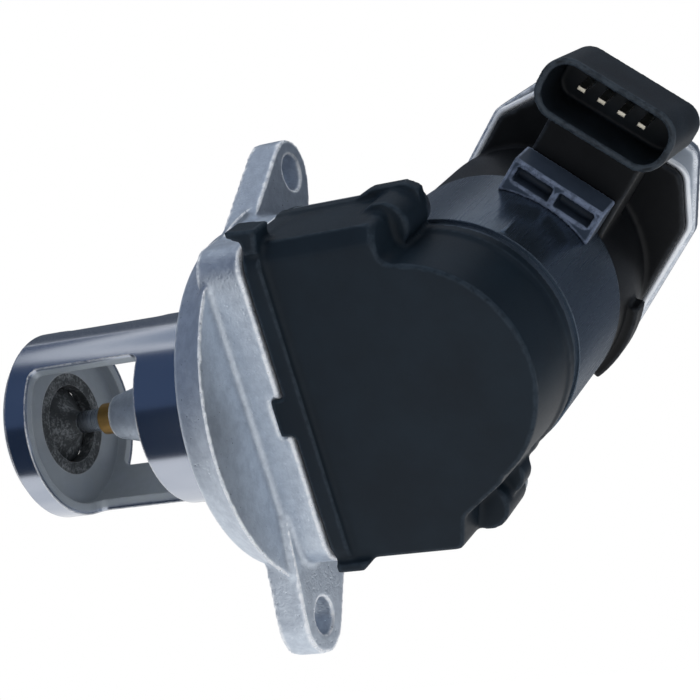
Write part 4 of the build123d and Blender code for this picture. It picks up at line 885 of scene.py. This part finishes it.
@dataclass
class MotorShell(SubAssembly):
    """The motor can, the moulded rear housing and the aluminium end plate.

    The fields named rear and bead give the outline of roll_bead, in a plane square to the motor
    axis that is turned by rear_turn degrees. Those named rib belong to raise_rib.
    """

    nodes: tuple[str, ...] = ("motor_can", "plate_screws")
    lattice: float = 0.5
    passes: int = 4
    can_radius: float = 25.3
    rear_turn: float = 47.0
    rear_shift: float = 2.0
    rear_half: float = 22.7
    rear_shoulder: float = 23.4
    rear_tip_reach: float = 34.3
    rear_tip_half: float = 14.5
    rear_round: float = 3.5
    flange_rear: float = 51.0
    bead_radius: float = 0.75
    bead_offset: float = 0.55
    bead_steps: int = 480
    bead_section_steps: int = 12
    rib_turn: float = 51.6
    rib_ends: tuple[float, float] = (0.6, 11.6)
    rib_width: float = 1.1
    rib_height: float = 0.5
    rib_sunk: float = 0.15
    rib_wall: float = 0.3
    rib_steps: tuple[int, int] = (40, 16)

    def build(self) -> None:
        """Dresses the can, softens the rear parts, and adds the rolled bead and the rib."""
        self.dress_nodes()
        self.soften("rear_housing", "housing", self.lattice, self.passes)
        self.soften("rear_plate", "housing", self.lattice, self.passes)
        self.roll_bead()
        self.raise_rib()

    def roll_bead(self) -> None:
        """Rolls a near-white bead along the rear housing's outline, on the end plate's front
        face.

        The bead is a real rim, and its bright colour is a painted highlight.

        The outline is the hull of five circles: in each direction its point lies on the circle
        that reaches furthest that way. A round section is carried along it, half sunk in the
        plate.
        """
        angle = np.linspace(0, 2 * np.pi, self.bead_steps, endpoint=False)
        out = np.stack((np.cos(angle), np.sin(angle)), axis=-1)
        side = self.rear_half - self.rear_round
        tip = self.rear_tip_reach - self.rear_round
        centres = np.array([
            (0.0, 0.0), (side, self.rear_shoulder), (-side, self.rear_shoulder),
            (self.rear_tip_half, tip), (-self.rear_tip_half, tip)]) + (self.rear_shift, 0.0)
        radii = np.array([self.rear_half] + [self.rear_round] * 4)
        furthest = np.argmax(out @ centres.T + radii, axis=1)
        line = centres[furthest] + out * (radii[furthest] + self.bead_offset)[:, None]
        section = np.linspace(0, 2 * np.pi, self.bead_section_steps, endpoint=False)
        wide = (np.cos(section) * self.bead_radius)[None, :, None]
        flat = line[:, None] + out[:, None] * wide
        w = self.flange_rear + np.sin(section) * self.bead_radius
        turn = math.radians(self.rear_turn)
        x = MOTOR_X + flat[..., 0] * math.sin(turn) + flat[..., 1] * math.cos(turn)
        n = MOTOR_RISE - flat[..., 0] * math.cos(turn) + flat[..., 1] * math.sin(turn)
        bead = grid_piece("rear_plate_bead", motor_point(x, w[None, :], n), (True, True))
        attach(bead, "housing")
        self.painter.dress(bead, "bright_edge", FINISHES["bright_edge"])
        LOG.info("rolled %s", bead.name)

    def raise_rib(self) -> None:
        """Raises a short rib on the can, along the motor axis.

        Its height over the can is a half wave across it, times the fourth root of a half wave
        along it, and its rim is sunk in the can.
        """
        along = np.linspace(0, 1, self.rib_steps[0])[:, None]
        across = np.linspace(-1, 1, self.rib_steps[1])[None, :]
        height = self.rib_height * np.cos(across * np.pi / 2) * np.sin(along * np.pi) ** 0.25
        turn = math.radians(self.rib_turn) + across * self.rib_width / self.can_radius
        reach = self.can_radius - self.rib_sunk + height
        w = self.rib_ends[0] + (self.rib_ends[1] - self.rib_ends[0]) * along
        points = motor_point(MOTOR_X + reach * np.cos(turn), w,
                             MOTOR_RISE + reach * np.sin(turn))
        rib = grid_piece("can_rib", points, (False, False))
        shell = rib.modifiers.new("wall", "SOLIDIFY")
        shell.thickness = self.rib_wall * MM
        shell.offset = -1
        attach(rib, "housing")
        self.painter.dress(rib, "can_steel", FINISHES["can_steel"])
        LOG.info("raised %s", rib.name)


@dataclass
class Connector(SubAssembly):
    """The four-pin socket and the saddle that it stands on."""

    nodes: tuple[str, ...] = ("connector_pins",)
    lattice: float = 0.36
    passes: int = 3

    def build(self) -> None:
        """Softens the mouldings and dresses the pins."""
        self.soften("connector_housing", "housing", self.lattice, self.passes)
        self.soften("connector_saddle", "housing", self.lattice, self.passes)
        self.dress_nodes()


@dataclass(frozen=True)
class Lamp:
    """A soft square lamp: its place and side in metres, and its power in watts."""

    place: Place
    side: float
    power: float


@dataclass(frozen=True)
class Card:
    """A toned card that only reflections show, part of a sphere round the object.

    Attributes:
        name: Its name.
        azimuth: Where it starts and ends, in degrees from +X.
        elevation: Its lower and upper edge in degrees.
        colour: Its tone.
        reach: The sphere's radius in metres.
    """

    name: str
    azimuth: tuple[float, float]
    elevation: tuple[float, float]
    colour: Colour
    reach: float = 1.3


@dataclass
class Studio:
    """Pale floor, soft light and the camera at the photograph's place. Lengths in metres.

    Attributes:
        eye: The camera's place, with its right, up and back directions.
        lens: Its focal length, and sensor its sensor's width, in millimetres.
        aim: The object's middle, which the lamps look at.
        floor_height: Place of the floor along Z, and floor_radius its reach.
        shadow_radii: Where the floor starts to fade from the shadow, and where it is white.
        floor_colour: Its colour, and floor_lift the light that it gives of its own.
        fill: The room's light on surfaces that scatter.
        lamps: The lamps.
        cards: The cards round the object, with card_steps as their rows and columns.
        mat_left: Left edge of the toned mat under the object's front.
        mat_right: Its right edge at Y = 0, which moves left by mat_slant per metre in front.
        mat_depth: Its front and back edge.
        mat_height: Its place along Z.
        mat_colour: Its tone, a painted shade for the floor's shadow as reflections show it.
    """

    eye: Place = (0.2032, -0.3611, -0.0506)
    right: Place = (0.8813, 0.4663, -0.0761)
    up: Place = (0.1324, -0.0890, 0.9872)
    back: Place = (0.4535, -0.8801, -0.1402)
    lens: float = 104.74
    sensor: float = 36.0
    aim: Place = (0.015, 0.005, 0.005)
    floor_height: float = -0.075
    floor_radius: float = 4.0
    floor_steps: int = 96
    floor_colour: Colour = srgb("f4f5f7")
    floor_lift: float = 0.3
    shadow_radii: tuple[float, float] = (0.12, 0.55)
    fill: Colour = (0.55, 0.57, 0.60)
    lamps: tuple[Lamp, ...] = (
        Lamp((-0.55, -0.55, 0.95), 0.9, 5.5),
        Lamp((0.95, -0.35, 0.55), 0.7, 1.2),
        Lamp((0.10, 0.95, 0.55), 0.7, 4.0),
    )
    cards: tuple[Card, ...] = (
        Card("card_side", (150.0, 290.0), (-4.0, 52.0), srgb("4a5a75")),
        Card("card_back", (-68.0, 148.0), (-4.0, 52.0), srgb("5d646f")),
        Card("card_top", (0.0, 360.0), (56.0, 89.9), srgb("a2adbd")),
    )
    card_steps: tuple[int, int] = (17, 49)
    mat_left: float = -1.3
    mat_right: float = -0.024
    mat_slant: float = 0.33
    mat_depth: tuple[float, float] = (-1.3, -0.042)
    mat_height: float = -0.074
    mat_colour: Colour = srgb("2c384b")

    def camera(self) -> None:
        """Sets the camera at the photograph's viewing angle."""
        data = bpy.data.cameras.new("camera")
        data.lens = self.lens
        data.sensor_width = self.sensor
        data.clip_start = 0.01
        camera = bpy.data.objects.new("camera", data)
        turn = Matrix((self.right, self.up, self.back)).transposed().to_4x4()
        camera.matrix_world = Matrix.Translation(self.eye) @ turn
        bpy.context.scene.collection.objects.link(camera)
        bpy.context.scene.camera = camera

    def floor(self) -> None:
        """Lays a pale round floor that keeps the object's shadow and is white further out."""
        radius = np.array([0.0, self.shadow_radii[1], self.floor_radius])[:, None]
        angle = np.linspace(0, 2 * np.pi, self.floor_steps, endpoint=False)[None, :]
        points = np.stack(np.broadcast_arrays(
            radius * np.cos(angle), radius * np.sin(angle), self.floor_height), axis=-1)
        floor = grid_piece("floor", points, (False, True))
        floor.data.materials.append(self.floor_paper())

    def floor_paper(self) -> bpy.types.Material:
        """Makes the floor's paper.

        It scatters light as pale paper does. To the camera it also glows a little near the
        object and is plain white further out, and in reflections it is white all over.

        Returns:
            The material.
        """
        material = bpy.data.materials.new("floor_paper")
        sketch = NodeSketch(material)
        paper = sketch.node("ShaderNodeBsdfDiffuse")
        sketch.feed(paper.inputs["Color"], self.floor_colour)
        white = sketch.node("ShaderNodeEmission")
        sketch.feed(white.inputs["Strength"], 1.0)
        lift = sketch.node("ShaderNodeEmission")
        sketch.feed(lift.inputs["Strength"], self.floor_lift)
        lit = sketch.node("ShaderNodeAddShader")
        sketch.feed(lit.inputs[0], paper.outputs[0])
        sketch.feed(lit.inputs[1], lift.outputs[0])
        coordinates = sketch.node("ShaderNodeTexCoord")
        distance = sketch.node("ShaderNodeVectorMath", operation="LENGTH")
        sketch.feed(distance.inputs[0], coordinates.outputs["Object"])
        far = sketch.spread(distance.outputs["Value"], *self.shadow_radii)
        mirrored, seen = sketch.rays()
        shown = sketch.mix(
            sketch.math("MAXIMUM", far, mirrored), lit.outputs[0], white.outputs[0])
        sketch.show(sketch.mix(seen, paper.outputs[0], shown))
        return material

    def show_in_mirrors(self, patch: bpy.types.Object, colour: Colour) -> None:
        """Gives a card its even tone and lets only reflections show it.

        Args:
            patch: The card.
            colour: Its tone.
        """
        material = bpy.data.materials.new(patch.name + "_paper")
        sketch = NodeSketch(material)
        tone = sketch.node("ShaderNodeEmission")
        sketch.feed(tone.inputs["Color"], colour)
        sketch.show(tone.outputs[0])
        patch.data.materials.append(material)
        patch.visible_camera = False
        patch.visible_diffuse = False
        patch.visible_shadow = False
        patch.visible_transmission = False

    def hang_cards(self) -> None:
        """Hangs the cards, each a patch of a sphere about the origin, and lays a flat mat.

        The mat's right edge moves left in proportion to the distance in front of the object.
        """
        rows, columns = self.card_steps
        away = np.linspace(*self.mat_depth, rows)[:, None]
        right = self.mat_right + self.mat_slant * away
        share = np.linspace(0, 1, rows)[None, :]
        across = self.mat_left + (right - self.mat_left) * share
        flat = np.stack(np.broadcast_arrays(across, away, self.mat_height), axis=-1)
        # The dark mat is painted shade: the floor's shadow under the object's front, seen only
        # in reflections.
        self.show_in_mirrors(grid_piece("card_mat", flat, (False, False)), self.mat_colour)
        for card in self.cards:
            turn = np.radians(np.linspace(*card.azimuth, columns))[None, :]
            rise = np.radians(np.linspace(*card.elevation, rows))[:, None]
            points = card.reach * np.stack(np.broadcast_arrays(
                np.cos(rise) * np.cos(turn), np.cos(rise) * np.sin(turn), np.sin(rise)),
                axis=-1)
            patch = grid_piece(card.name, points, (False, False))
            self.show_in_mirrors(patch, card.colour)

    def world(self) -> None:
        """Makes the room: white where it is seen or reflected, and a plain pale light."""
        world = bpy.data.worlds.new("room")
        bpy.context.scene.world = world
        sketch = NodeSketch(world)
        seen = sketch.rays()[1]
        background = sketch.node("ShaderNodeBackground")
        sketch.feed(background.inputs["Color"], sketch.blend(seen, self.fill, (1.0, 1.0, 1.0)))
        sketch.show(background.outputs[0], "ShaderNodeOutputWorld")

    def light(self) -> None:
        """Hangs soft square lamps that look at the object's middle."""
        for number, given in enumerate(self.lamps):
            data = bpy.data.lights.new(f"lamp_{number}", "AREA")
            data.size = given.side
            data.energy = given.power
            lamp = bpy.data.objects.new(f"lamp_{number}", data)
            lamp.location = given.place
            away = Vector(given.place) - Vector(self.aim)
            lamp.rotation_euler = away.to_track_quat("Z", "Y").to_euler()
            lamp.visible_camera = False
            lamp.visible_glossy = False
            bpy.context.scene.collection.objects.link(lamp)

    def build(self) -> None:
        """Sets up camera, floor, cards, room and lamps."""
        self.camera()
        self.floor()
        self.hang_cards()
        self.world()
        self.light()
        bpy.context.scene.view_settings.view_transform = "Standard"


def main() -> None:
    """Builds every sub-assembly in order and reports it."""
    logging.basicConfig(level=logging.INFO, format="%(message)s")
    for old in list(bpy.data.objects):
        bpy.data.objects.remove(old)
    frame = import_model()
    painter = Painter()
    for kind in (ValveCage, ReturnSpring, CastHousing, GearCover, DriveTrain, MotorShell,
                 Connector):
        LOG.info("building %s", kind.__name__)
        kind(frame, painter).build()
    Studio().build()


if __name__ == "__main__":
    main()
